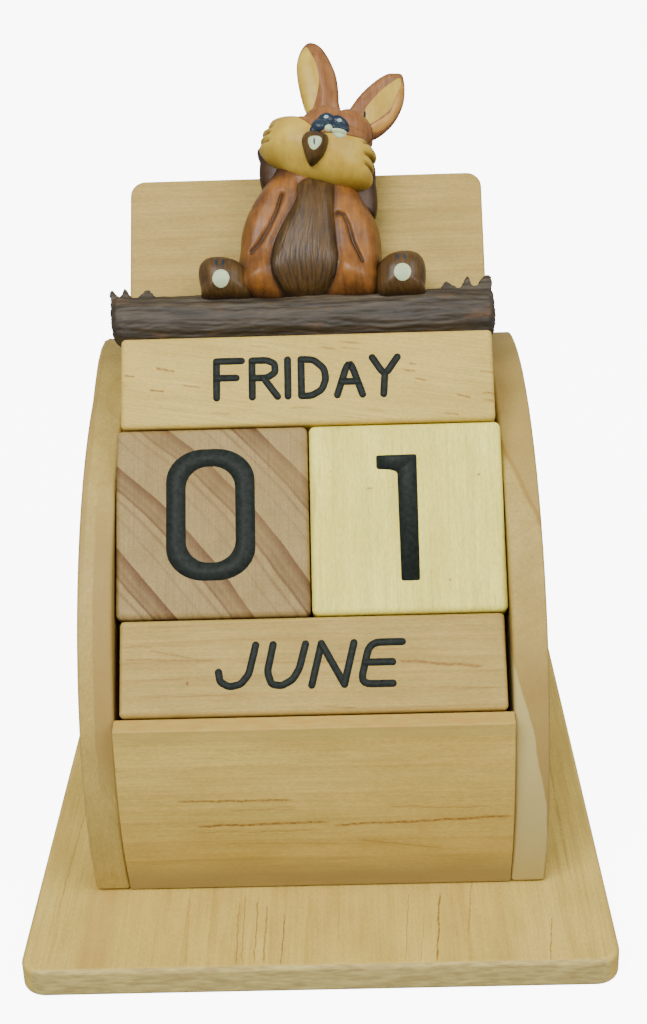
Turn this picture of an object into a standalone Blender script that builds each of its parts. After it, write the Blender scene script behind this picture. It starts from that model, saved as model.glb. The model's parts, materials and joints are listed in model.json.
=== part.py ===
"""Perpetual desk calendar in pale pine, with a carved rabbit sitting on a log."""

import math

import bmesh
import bpy
from mathutils import Matrix, Vector

# Driving dimensions, in metres
CUBE_EDGE = 0.040
BAR_SIDE = 0.0198
BAR_LENGTH = 0.0785
FIT = 0.0003
SIDE_PLAY = 0.0009
CHEEK_THICKNESS = 0.0072
BASE_OVERHANG = 0.01255
BASE_DEPTH = 0.130
BASE_THICKNESS = 0.0065
OVERRUN = 0.002
WELD = 0.00001

# The pocket leans back, and its floor starts at this front edge
LEAN = math.radians(37.4)
FLOOR_EDGE_Y = -0.0404
FLOOR_EDGE_Z = 0.0494

# Rounding and easing
BASE_CORNER = 0.005
BOARD_CORNER = 0.0032
CUBE_ROUNDING = 0.0012
BAR_ROUNDING = 0.0010
EASING = 0.0006

# The cheeks' curved front edge is part of an ellipse
ARC_CENTRE_Y = 0.0348
ARC_CENTRE_Z = 0.0273
ARC_HALF_DEPTH = 0.0778
ARC_HALF_HEIGHT = 0.0722
CHEEK_BACK_Y = 0.052
ARC_STEPS = 30

# Front block under the pocket
LEDGE_DEPTH = 0.0034
LEDGE_DROP = 0.0007
FACET_HEIGHT = 0.0028
BLOCK_BULGE = 0.0026
BLOCK_STEPS = 12

# Boards behind the pocket
UPPER_BOARD_THICKNESS = 0.008
UPPER_BOARD_RISE = 0.125
POCKET_BACK_THICKNESS = 0.006
POCKET_BACK_RISE = 0.074
RAIL_RISE = 0.011
SPARE_SETBACK = 0.0035

# Log
LOG_RADIUS = 0.0056
LOG_LENGTH = 0.0826
LOG_SEAT = 0.0006
LOG_OFFSET_X = -0.0008
LOG_RADIUS_SHARES = (1.10, 1.02, 0.96, 0.99, 1.01, 0.97, 1.02, 1.05, 1.12)
SPIKE_RADIUS = 0.0021
SPIKE_TOP = 0.0092
SPIKE_SIDES = 7
SPIKE_TIP_SHARE = 0.12
SPIKE_X_SHARES = (-0.505, -0.472, -0.412, 0.375, 0.44, 0.492)
SPIKE_TOP_SHARES = (0.92, 0.96, 0.92, 0.95, 1.06, 1.07)

# Rabbit, measured in shares of its height from the log to the ear tip
RABBIT_HEIGHT = 0.0622
RABBIT_X = 0.0012
# Each form: middle and half sizes across, up and out, then its turn in degrees and its taper
RABBIT_SHARES = {
    "body": ((0, 0.214, 0.122), (0.232, 0.235, 0.130), 0, 0.22),
    "haunch_left": ((-0.180, 0.095, 0.130), (0.105, 0.105, 0.105), 0, 0),
    "haunch_right": ((0.180, 0.095, 0.130), (0.105, 0.105, 0.105), 0, 0),
    "arm_left": ((-0.160, 0.280, 0.140), (0.062, 0.180, 0.108), -18, 0.25),
    "arm_right": ((0.165, 0.240, 0.140), (0.062, 0.180, 0.108), 18, 0.25),
    "muzzle": ((0.034, 0.500, 0.160), (0.192, 0.128, 0.152), -14, 0),
    "crown": ((0.070, 0.575, 0.130), (0.125, 0.100, 0.112), -14, 0.1),
    "ear_left": ((0.050, 0.800, 0.140), (0.078, 0.200, 0.034), 10.5, 0.12),
    "ear_right": ((0.215, 0.727, 0.140), (0.070, 0.185, 0.034), -42, 0.12),
    "nose": ((0.024, 0.515, 0.315), (0.052, 0.060, 0.045), -8, -0.15),
    "foot_left": ((-0.318, 0.060, 0.178), (0.076, 0.082, 0.095), -6, 0.08),
    "foot_right": ((0.318, 0.060, 0.178), (0.076, 0.082, 0.095), 6, 0.08),
}
BIG_EGG_SHARE = 0.15
EGG_SIDES = 24
SMALL_EGG_SIDES = 18

# Fasteners
SCREW_LENGTH = 0.016
SCREW_RADIUS = 0.0014
SCREW_HEAD_RADIUS = 0.0029
SCREW_HEAD_DEPTH = 0.0018
SCREW_POINT = 0.003
SLOT_WIDTH = 0.0008
SLOT_DEPTH = 0.0009
CHEEK_SCREW_FRONT_Y = -0.022
CHEEK_SCREW_BACK_Y = 0.036
BLOCK_SCREW_X = 0.022
BLOCK_SCREW_Y = -0.022
DOWEL_RADIUS = 0.0015
DOWEL_LENGTH = 0.0095
LOG_DOWEL_X = 0.026
TURNED_STEPS = 16

# Places that follow from the sizes above
INNER_WIDTH = 2 * CUBE_EDGE + SIDE_PLAY
SHELL_HALF = INNER_WIDTH / 2
BASE_WIDTH = INNER_WIDTH + 2 * CHEEK_THICKNESS + 2 * BASE_OVERHANG
CHEEK_FOOT_Z = BASE_THICKNESS + FIT
MONTH_RISE = FIT
CUBE_RISE = MONTH_RISE + BAR_SIDE + FIT
WEEKDAY_RISE = CUBE_RISE + CUBE_EDGE + FIT
POCKET_DEPTH = CUBE_EDGE + FIT
UPPER_BOARD_FRONT = BAR_SIDE + FIT
UPPER_BOARD_BACK = UPPER_BOARD_FRONT + UPPER_BOARD_THICKNESS
POCKET_BACK_REAR = POCKET_DEPTH + POCKET_BACK_THICKNESS
LOG_RISE = WEEKDAY_RISE + BAR_SIDE + LOG_SEAT + LOG_RADIUS
LOG_TOP = LOG_RISE + LOG_RADIUS
LOG_DEPTH = UPPER_BOARD_FRONT - FIT - LOG_RADIUS

PINE = (0.72, 0.55, 0.33)
PALE_PINE = (0.80, 0.68, 0.44)
KNOTTY_PINE = (0.55, 0.36, 0.20)
BARK = (0.085, 0.065, 0.05)
FUR = (0.40, 0.13, 0.04)
CREAM = (0.62, 0.38, 0.12)
DARK_WOOD = (0.12, 0.07, 0.035)
STEEL = (0.55, 0.55, 0.56)
WOOD_ROUGHNESS = 0.6
PAINT_ROUGHNESS = 0.4
STEEL_ROUGHNESS = 0.35


def new_collection(name, shown=True):
    collection = bpy.data.collections.new(name)
    bpy.context.scene.collection.children.link(collection)
    collection.hide_render = not shown
    return collection


def clear_scene():
    for item in list(bpy.data.objects):
        bpy.data.objects.remove(item, do_unlink=True)


clear_scene()
PARTS = new_collection("perpetual_desk_calendar")
CUTTERS = new_collection("cutters", shown=False)


def empty(name, location, rotation=(0, 0, 0)):
    item = bpy.data.objects.new(name, None)
    item.location = location
    item.rotation_euler = rotation
    PARTS.objects.link(item)
    return item


def place(name, mesh, parent, location=(0, 0, 0), turn=0.0, cutter=False):
    """A new object with this mesh, as a part or as a hidden cutter."""
    item = bpy.data.objects.new(name, mesh)
    (CUTTERS if cutter else PARTS).objects.link(item)
    item.parent = parent
    item.location = location
    item.rotation_euler = (0, 0, turn)
    if cutter:
        item.hide_render = True
        item.display_type = "WIRE"
    return item


def finish_wood(item, colour, roughness=WOOD_ROUGHNESS, metallic=0):
    material = bpy.data.materials.new(item.name + "_finish")
    material.use_nodes = True
    shader = material.node_tree.nodes["Principled BSDF"]
    shader.inputs["Base Color"].default_value = (*colour, 1)
    shader.inputs["Roughness"].default_value = roughness
    shader.inputs["Metallic"].default_value = metallic
    item.data.materials.append(material)
    return item


def mesh_from(name, shape):
    mesh = bpy.data.meshes.new(name)
    shape.to_mesh(mesh)
    shape.free()
    return mesh


def box_mesh(name, size):
    shape = bmesh.new()
    bmesh.ops.create_cube(shape, size=1)
    bmesh.ops.scale(shape, vec=size, verts=shape.verts)
    return mesh_from(name, shape)


def rod_mesh(name, radius, length):
    """A round rod along Z, centred, with the sides that turned pieces have."""
    shape = bmesh.new()
    bmesh.ops.create_cone(
        shape,
        cap_ends=True,
        segments=TURNED_STEPS,
        radius1=radius,
        radius2=radius,
        depth=length,
    )
    return mesh_from(name, shape)


def outline_mesh(name, points, thickness):
    """A flat outline in X and Y, as thick along Z, made from a filled curve."""
    curve = bpy.data.curves.new(name + "_outline", "CURVE")
    curve.dimensions = "2D"
    curve.fill_mode = "BOTH"
    curve.extrude = thickness / 2
    spline = curve.splines.new("POLY")
    spline.points.add(len(points) - 1)
    for point, (across, along) in zip(spline.points, points):
        point.co = (across, along, 0, 1)
    spline.use_cyclic_u = True
    return curve_to_mesh(name, curve)


def curve_to_mesh(name, curve):
    item = bpy.data.objects.new(name + "_curve", curve)
    PARTS.objects.link(item)
    graph = bpy.context.evaluated_depsgraph_get()
    shape = bmesh.new()
    shape.from_mesh(bpy.data.meshes.new_from_object(item.evaluated_get(graph)))
    bmesh.ops.remove_doubles(shape, verts=shape.verts, dist=WELD)
    bmesh.ops.recalc_face_normals(shape, faces=shape.faces)
    bpy.data.objects.remove(item, do_unlink=True)
    return mesh_from(name, shape)


def rounded_corner(centre_x, centre_y, radius, start, steps=6):
    """Points of a quarter circle from this angle on."""
    angles = [start + math.pi / 2 * step / steps for step in range(steps + 1)]
    return [
        (centre_x + radius * math.cos(angle), centre_y + radius * math.sin(angle))
        for angle in angles
    ]


def bevel(item, width, segments=2):
    modifier = item.modifiers.new("rounding", "BEVEL")
    modifier.width = width
    modifier.segments = segments
    modifier.limit_method = "ANGLE"
    modifier.angle_limit = math.radians(40)
    return item


def boolean(item, other, operation="DIFFERENCE"):
    modifier = item.modifiers.new(other.name, "BOOLEAN")
    modifier.operation = operation
    modifier.object = other
    return item


# The leaning frame has X across, Y up the slope and Z out of the pocket
LEANING = empty(
    "leaning_frame", (0, FLOOR_EDGE_Y, FLOOR_EDGE_Z), (math.pi / 2 - LEAN, 0, 0)
)
# The side frame has X towards the back, Y up and Z to the right
SIDE = empty("side_frame", (0, 0, 0), (math.pi / 2, 0, math.pi / 2))


def slope_point(rise, depth):
    """Depth and height in the side frame of a point of the leaning frame."""
    back = FLOOR_EDGE_Y + rise * math.sin(LEAN) + depth * math.cos(LEAN)
    up = FLOOR_EDGE_Z + rise * math.cos(LEAN) - depth * math.sin(LEAN)
    return back, up


def arc_point(angle):
    return (
        ARC_CENTRE_Y - ARC_HALF_DEPTH * math.cos(angle),
        ARC_CENTRE_Z + ARC_HALF_HEIGHT * math.sin(angle),
    )


def arc_angle_at(height):
    return math.asin((height - ARC_CENTRE_Z) / ARC_HALF_HEIGHT)


def turned(name, profile, location, cutter=False):
    """A piece turned about an upright axis from its outline, top to bottom."""
    mesh = bpy.data.meshes.new(name)
    points = [(radius, 0, height) for radius, height in profile]
    mesh.from_pydata(points, [(i, i + 1) for i in range(len(points) - 1)], [])
    item = place(name, mesh, None, location, cutter=cutter)
    modifier = item.modifiers.new("turning", "SCREW")
    modifier.steps = TURNED_STEPS
    modifier.render_steps = TURNED_STEPS
    modifier.use_merge_vertices = True
    modifier.merge_threshold = WELD
    modifier.use_smooth_shade = False
    return item


def screw_shank(grow=0.0):
    """Half outline of a countersunk wood screw from its point down to its head."""
    return [
        (0, SCREW_LENGTH + grow),
        (SCREW_RADIUS / 2 + grow, SCREW_LENGTH + grow),
        (SCREW_RADIUS + grow, SCREW_LENGTH - SCREW_POINT),
        (SCREW_RADIUS + grow, SCREW_HEAD_DEPTH),
        (SCREW_HEAD_RADIUS + grow, FIT),
    ]


def screw(name, x, y, carriers):
    item = turned(name, screw_shank() + [(0, FIT)], (x, y, 0))
    slot_size = (2 * SCREW_HEAD_RADIUS + OVERRUN, SLOT_WIDTH, 2 * SLOT_DEPTH)
    slot = place(name + "_slot", box_mesh(name + "_slot", slot_size), None, (x, y, FIT), cutter=True)
    boolean(item, slot)
    mouth = [(SCREW_HEAD_RADIUS + FIT, -OVERRUN), (0, -OVERRUN)]
    hole = turned(name + "_hole", screw_shank(FIT) + mouth, (x, y, 0), cutter=True)
    for carrier in carriers:
        boolean(carrier, hole)
    return finish_wood(item, STEEL, STEEL_ROUGHNESS, metallic=1)


def dowel(name, x, rise, carriers):
    """A wooden dowel through the face of the upper board."""
    middle = (x, rise, -UPPER_BOARD_FRONT)
    item = place(name, rod_mesh(name, DOWEL_RADIUS, DOWEL_LENGTH), LEANING, middle)
    hole_mesh = rod_mesh(name + "_hole", DOWEL_RADIUS + FIT, DOWEL_LENGTH + 2 * FIT)
    hole = place(name + "_hole", hole_mesh, LEANING, middle, cutter=True)
    for carrier in carriers:
        boolean(carrier, hole)
    return finish_wood(item, PINE)


def base_board():
    across = BASE_WIDTH / 2 - BASE_CORNER
    along = BASE_DEPTH / 2 - BASE_CORNER
    points = []
    corners = ((across, along), (-across, along), (-across, -along), (across, -along))
    for index, (x, y) in enumerate(corners):
        points += rounded_corner(x, y, BASE_CORNER, index * math.pi / 2)
    mesh = outline_mesh("base_board", points, BASE_THICKNESS)
    item = place("base_board", mesh, None, (0, 0, BASE_THICKNESS / 2))
    return finish_wood(bevel(item, EASING), PINE)


def cheek(name, side):
    start = arc_angle_at(CHEEK_FOOT_Z)
    finish = math.acos((ARC_CENTRE_Y - CHEEK_BACK_Y) / ARC_HALF_DEPTH)
    angles = [start + (finish - start) * i / ARC_STEPS for i in range(ARC_STEPS + 1)]
    points = [arc_point(angle) for angle in angles]
    points.append((CHEEK_BACK_Y, CHEEK_FOOT_Z))
    mesh = outline_mesh(name, points, CHEEK_THICKNESS)
    item = place(name, mesh, SIDE, (0, 0, side * (SHELL_HALF + CHEEK_THICKNESS / 2)))
    return finish_wood(bevel(item, EASING), PINE)


def front_block():
    foot_angle = arc_angle_at(CHEEK_FOOT_Z)
    foot = Vector(arc_point(foot_angle))
    floor_front = Vector(slope_point(0, 0))
    ledge = floor_front + Vector((-LEDGE_DEPTH, -LEDGE_DROP))
    brow = ledge + Vector((0, -FACET_HEIGHT))
    chord = foot - brow
    outward = Vector((chord.y, -chord.x)).normalized()
    points = [floor_front, ledge]
    for step in range(BLOCK_STEPS + 1):
        share = step / BLOCK_STEPS
        bulge = BLOCK_BULGE * math.sin(math.pi * share)
        points.append(brow + chord * share + outward * bulge)
    floor_back = Vector(slope_point(0, POCKET_BACK_REAR))
    points += [Vector((floor_back.x, CHEEK_FOOT_Z)), floor_back]
    mesh = outline_mesh("front_block", [tuple(point) for point in points], INNER_WIDTH - 2 * FIT)
    item = place("front_block", mesh, SIDE)
    return finish_wood(bevel(item, EASING / 2), PINE)


def upper_board():
    half = SHELL_HALF - FIT
    corner = BOARD_CORNER
    points = rounded_corner(half - corner, UPPER_BOARD_RISE - corner, corner, 0)
    points += rounded_corner(corner - half, UPPER_BOARD_RISE - corner, corner, math.pi / 2)
    points += [(-half, WEEKDAY_RISE), (half, WEEKDAY_RISE)]
    mesh = outline_mesh("upper_board", points, UPPER_BOARD_THICKNESS)
    middle = UPPER_BOARD_FRONT + UPPER_BOARD_THICKNESS / 2
    item = place("upper_board", mesh, LEANING, (0, 0, -middle))
    return finish_wood(bevel(item, EASING), PINE)


def leaning_box(name, x, low, high, front, back, width, colour, rounding):
    """A box in the leaning frame, between two rises and two depths."""
    size = (width, high - low, back - front)
    centre = (x, (low + high) / 2, -(front + back) / 2)
    item = place(name, box_mesh(name, size), LEANING, centre)
    return finish_wood(bevel(item, rounding), colour)


def bar(name, rise, front, colour=PINE):
    return leaning_box(
        name, 0, rise, rise + BAR_SIDE, front, front + BAR_SIDE, BAR_LENGTH, colour, BAR_ROUNDING
    )


def date_cube(name, side, colour):
    x = side * (CUBE_EDGE + FIT) / 2
    top = CUBE_RISE + CUBE_EDGE
    return leaning_box(name, x, CUBE_RISE, top, 0, CUBE_EDGE, CUBE_EDGE, colour, CUBE_ROUNDING)


def stored_bar(name, height):
    """A spare bar lying in the hollow behind the pocket."""
    panel_y = FLOOR_EDGE_Y + POCKET_BACK_REAR / math.cos(LEAN)
    pile_top = CHEEK_FOOT_Z + 2 * BAR_SIDE + FIT
    front = panel_y + (pile_top - FLOOR_EDGE_Z) * math.tan(LEAN) + SPARE_SETBACK
    mesh = box_mesh(name, (BAR_LENGTH, BAR_SIDE, BAR_SIDE))
    item = place(name, mesh, None, (0, front + BAR_SIDE / 2, height + BAR_SIDE / 2))
    return finish_wood(bevel(item, BAR_ROUNDING), PINE)


def log_tube(name, grow=0.0, cutter=False):
    """The log's rod, with its radius swelling along it, grown for a cutter."""
    curve = bpy.data.curves.new(name + "_line", "CURVE")
    curve.dimensions = "3D"
    curve.bevel_depth = LOG_RADIUS
    curve.bevel_resolution = 3
    curve.use_fill_caps = True
    spline = curve.splines.new("POLY")
    count = len(LOG_RADIUS_SHARES)
    spline.points.add(count - 1)
    length = LOG_LENGTH + 2 * grow
    for index, (point, share) in enumerate(zip(spline.points, LOG_RADIUS_SHARES)):
        point.co = (length * (index / (count - 1) - 0.5), 0, 0, 1)
        point.radius = share + grow / LOG_RADIUS
    mesh = curve_to_mesh(name, curve)
    return place(name, mesh, LEANING, (LOG_OFFSET_X, LOG_RISE, -LOG_DEPTH), cutter=cutter)


def face_cutter(name):
    """All that lies behind the front of the upper board."""
    size = (2 * BASE_WIDTH, 2 * BASE_DEPTH, BAR_SIDE)
    centre = (0, UPPER_BOARD_RISE, -(UPPER_BOARD_FRONT - FIT) - BAR_SIDE / 2)
    return place(name, box_mesh(name, size), LEANING, centre, cutter=True)


def weekday_cutter(name):
    """The weekday bar with its running gap, so that the log clears it."""
    size = (BASE_WIDTH, BAR_SIDE, 2 * BAR_SIDE)
    centre = (0, WEEKDAY_RISE + BAR_SIDE / 2 + FIT, 0)
    return place(name, box_mesh(name, size), LEANING, centre, cutter=True)


def carved_log(behind):
    item = log_tube("log")
    for index, (across, top) in enumerate(zip(SPIKE_X_SHARES, SPIKE_TOP_SHARES)):
        name = "spike_%d" % index
        shape = bmesh.new()
        bmesh.ops.create_cone(
            shape,
            cap_ends=True,
            segments=SPIKE_SIDES,
            radius1=SPIKE_RADIUS,
            radius2=SPIKE_RADIUS * SPIKE_TIP_SHARE,
            depth=SPIKE_TOP * top,
        )
        bmesh.ops.rotate(shape, verts=shape.verts, matrix=Matrix.Rotation(-math.pi / 2, 3, "X"))
        centre = (LOG_OFFSET_X + across * LOG_LENGTH, LOG_RISE + SPIKE_TOP * top / 2, -LOG_DEPTH)
        spike = place(name, mesh_from(name, shape), LEANING, centre, cutter=True)
        boolean(item, spike, "UNION")
    boolean(item, behind)
    boolean(item, weekday_cutter("weekday_room"))
    return finish_wood(item, BARK)


def swell_mesh(name, radii, taper, sides, grow):
    """An egg about its own middle: taper narrows its top, or its foot if negative."""
    shape = bmesh.new()
    bmesh.ops.create_uvsphere(shape, u_segments=sides, v_segments=sides * 2 // 3, radius=1)
    for vert in shape.verts:
        x, y, z = vert.co
        width = 1 - taper * z
        vert.co = (
            x * width * (radii[0] + grow),
            z * (radii[1] + grow),
            -y * width * (radii[2] + grow),
        )
    return mesh_from(name, shape)


def swell(name, form, grow=0.0, cutter=False):
    """An egg-shaped form of the rabbit, placed in shares of its height."""
    middle_shares, radius_shares, turn, taper = RABBIT_SHARES[form]
    across, up, out = (share * RABBIT_HEIGHT for share in middle_shares)
    radii = [share * RABBIT_HEIGHT for share in radius_shares]
    sides = EGG_SIDES if radii[0] > BIG_EGG_SHARE * RABBIT_HEIGHT else SMALL_EGG_SIDES
    mesh = swell_mesh(name, radii, taper, sides, grow)
    centre = (RABBIT_X + across, LOG_TOP + up, out - UPPER_BOARD_FRONT)
    return place(name, mesh, LEANING, centre, math.radians(turn), cutter)


def joined_swells(name, form, others, grow=0.0, cutter=False):
    """One egg with others grown into it."""
    item = swell(name, form, grow, cutter)
    for other in others:
        boolean(item, swell(name + "_" + other, other, grow, True), "UNION")
    return item


def body_form(name, grow=0.0, cutter=False):
    limbs = ("haunch_left", "haunch_right", "arm_left", "arm_right")
    return joined_swells(name, "body", limbs, grow, cutter)


def head_form(name, grow=0.0, cutter=False):
    return joined_swells(name, "muzzle", ("crown",), grow, cutter)


def rabbit(behind, log_room):
    body = body_form("rabbit_body")
    head = head_form("rabbit_head")
    body_room = body_form("body_room", FIT, True)
    head_room = head_form("head_room", FIT, True)
    ear_left = swell("rabbit_ear_left", "ear_left")
    ear_right = swell("rabbit_ear_right", "ear_right")
    ear_room = swell("ear_room", "ear_left", FIT, True)
    nose = swell("rabbit_nose", "nose")
    foot_left = swell("rabbit_foot_left", "foot_left")
    foot_right = swell("rabbit_foot_right", "foot_right")
    cuts = (
        (body, (behind, head_room, log_room)),
        (head, (behind,)),
        (ear_left, (head_room,)),
        (ear_right, (head_room, ear_room)),
        (nose, (head_room,)),
        (foot_left, (body_room, log_room, behind)),
        (foot_right, (body_room, log_room, behind)),
    )
    for item, rooms in cuts:
        for room in rooms:
            boolean(item, room)
    for item in (body, ear_left, ear_right):
        finish_wood(item, FUR, PAINT_ROUGHNESS)
    finish_wood(head, CREAM, PAINT_ROUGHNESS)
    for item in (nose, foot_left, foot_right):
        finish_wood(item, DARK_WOOD, PAINT_ROUGHNESS)
    return body


def build():
    base = base_board()
    cheeks = {side: cheek(name, side) for name, side in (("cheek_left", -1), ("cheek_right", 1))}
    block = front_block()
    board = upper_board()
    inside = INNER_WIDTH - 2 * FIT
    leaning_box(
        "pocket_back", 0, FIT, POCKET_BACK_RISE, POCKET_DEPTH, POCKET_BACK_REAR, inside, PINE, EASING
    )
    leaning_box(
        "cross_rail",
        0,
        WEEKDAY_RISE,
        WEEKDAY_RISE + RAIL_RISE,
        UPPER_BOARD_BACK + FIT,
        POCKET_DEPTH - FIT,
        inside,
        PINE,
        EASING,
    )
    bar("weekday_bar", WEEKDAY_RISE, 0)
    bar("month_bar", MONTH_RISE, 0)
    bar("month_bar_spare", MONTH_RISE, BAR_SIDE + FIT)
    stored_bar("month_bar_third", CHEEK_FOOT_Z)
    stored_bar("weekday_bar_spare", CHEEK_FOOT_Z + BAR_SIDE + FIT)
    date_cube("date_cube_tens", -1, KNOTTY_PINE)
    date_cube("date_cube_units", 1, PALE_PINE)
    behind = face_cutter("behind_face")
    log_room = log_tube("log_room", FIT, True)
    log = carved_log(behind)
    body = rabbit(behind, log_room)
    for name, side in (("left", -1), ("right", 1)):
        x = side * (SHELL_HALF + CHEEK_THICKNESS / 2)
        screw("cheek_screw_front_" + name, x, CHEEK_SCREW_FRONT_Y, (base, cheeks[side]))
        screw("cheek_screw_back_" + name, x, CHEEK_SCREW_BACK_Y, (base, cheeks[side]))
        screw("block_screw_" + name, side * BLOCK_SCREW_X, BLOCK_SCREW_Y, (base, block))
        dowel("log_dowel_" + name, side * LOG_DOWEL_X, LOG_RISE, (board, log))
    dowel("rabbit_dowel", RABBIT_X, LOG_TOP + LOG_RADIUS + DOWEL_LENGTH, (board, body))


build()
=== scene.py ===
"""Looks of the perpetual desk calendar: bare pine, painted numbers and a carved rabbit."""

import json
import math

import bmesh
import bpy
import numpy as np
from mathutils import Matrix, Vector, noise
from mathutils.bvhtree import BVHTree


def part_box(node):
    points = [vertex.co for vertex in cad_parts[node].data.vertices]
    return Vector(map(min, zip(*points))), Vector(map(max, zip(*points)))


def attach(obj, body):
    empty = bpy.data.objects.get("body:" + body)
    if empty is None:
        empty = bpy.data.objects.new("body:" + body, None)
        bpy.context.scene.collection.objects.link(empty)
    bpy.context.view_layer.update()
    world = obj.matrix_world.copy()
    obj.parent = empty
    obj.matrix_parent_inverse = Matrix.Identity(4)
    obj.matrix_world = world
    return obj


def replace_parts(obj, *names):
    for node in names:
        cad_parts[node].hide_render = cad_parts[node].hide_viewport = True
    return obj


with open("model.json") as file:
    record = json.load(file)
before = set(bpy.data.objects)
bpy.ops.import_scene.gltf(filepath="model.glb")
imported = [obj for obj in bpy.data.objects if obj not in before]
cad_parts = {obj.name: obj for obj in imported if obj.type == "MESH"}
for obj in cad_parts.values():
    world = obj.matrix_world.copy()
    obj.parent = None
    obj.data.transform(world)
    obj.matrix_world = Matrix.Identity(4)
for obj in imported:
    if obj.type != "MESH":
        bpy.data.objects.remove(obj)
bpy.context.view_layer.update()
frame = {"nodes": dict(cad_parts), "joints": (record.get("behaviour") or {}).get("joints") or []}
MM = 0.001
FIT = 0.3 * MM

# The camera, solved from the photograph
PHOTO_HEIGHT = 1024
FOCAL_PIXELS = 1650
SENSOR_HEIGHT = 24
CAMERA_PLACE = (0.0092, -0.3233, 0.2270)
CAMERA_PITCH = math.radians(25.08)
CAMERA_YAW = math.radians(1.17)
CAMERA_ROLL = math.radians(-1.96)

# Boards
BASE_CORNER = 5.0 * MM
BASE_EDGE = 1.1 * MM
BOARD_CORNER = 3.4 * MM
BOARD_EDGE = 0.7 * MM
CUBE_EDGE = 1.3 * MM
BAR_EDGE = 1.0 * MM
EDGE_STEPS = 5

# The cheeks' curved front edge is part of an ellipse, sanded in short flats
ARC_CENTRE = (34.8 * MM, 27.3 * MM)
ARC_HALF_SIZE = (77.8 * MM, 72.2 * MM)
ARC_FLATS = 26
CHEEK_EDGE = 0.8 * MM
# The left cheek's outer corner is left unsanded: where it starts, over what height, and how much is left
CORNER_FROM = 97.6 * MM
CORNER_OVER = 1.9 * MM
CORNER_LEFT_ON = 3.6 * MM

# Front block
LEDGE_DEPTH = 3.4 * MM
LEDGE_DROP = 0.7 * MM
FACET_HEIGHT = 2.8 * MM
BLOCK_BULGE = 2.6 * MM
BLOCK_STEPS = 24
BLOCK_EDGE = 0.35 * MM
BLOCK_WIDER = 0.22 * MM

# Log
LOG_RADIUS = 5.6 * MM
LOG_SWELL = 6.4 * MM
LOG_LIFT = 0.95 * MM
LOG_LEFT = -43.1 * MM
LOG_RIGHT = 41.3 * MM
LOG_VOXEL = 0.32 * MM
# Beyond the month bar's ends the log's underside rises, in millimetres
LOG_CLEAR = 38.8
LOG_END_STEP = 2.2
LOG_END_SLOPE = 0.5

# Paint
PAINT_PROUD = 0.03 * MM
PAINT_DEPTH = 0.06 * MM
NUMERAL_PEN = 4.6 * MM

# Light: each soft box has a place and a side in metres, and its watts
FLOOR_GLOW = 8.0
SKY_STRENGTH = 0.5
KEY_LIGHT = ("key", (-0.45, -0.85, 1.25), 0.8, 28)
FILL_LIGHT = ("fill", (0.75, -0.6, 0.95), 0.8, 12)


def lift_axis():
    """The way out of the pocket, square to its sloping front."""
    for joint in frame["joints"]:
        if joint["name"] == "month_bar_lift":
            return Vector(joint["axis"]).normalized()
    return None


# The leaning frame: X across, Y up the slope, Z out of the pocket, from the month bar's front foot
OUT = lift_axis()
ACROSS = Vector((1, 0, 0))
UP_SLOPE = OUT.cross(ACROSS)
AXES = Matrix((ACROSS, UP_SLOPE, OUT)).transposed().to_4x4()


def lean_box(node, start=Vector((0, 0, 0))):
    """Lowest and highest corner of a node in the leaning frame."""
    points = [AXES.transposed() @ vert.co for vert in frame["nodes"][node].data.vertices]
    low = Vector(min(point[axis] for point in points) for axis in range(3))
    high = Vector(max(point[axis] for point in points) for axis in range(3))
    return low - start, high - start


MONTH_LOW, MONTH_HIGH = lean_box("month_bar")
START = Vector((0, MONTH_LOW.y, MONTH_HIGH.z))
LEANING = AXES @ Matrix.Translation(START)
BOARD_FACE = lean_box("upper_board", START)[1].z
LOG_DOWEL = lean_box("log_dowel_left", START)
LOG_RISE = (LOG_DOWEL[0].y + LOG_DOWEL[1].y) / 2
LOG_TOP = LOG_RISE + LOG_RADIUS
BAR_TOP = lean_box("weekday_bar", START)[1].y
RABBIT = LEANING @ Matrix.Translation((0, LOG_TOP, BOARD_FACE))


# Materials


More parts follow.
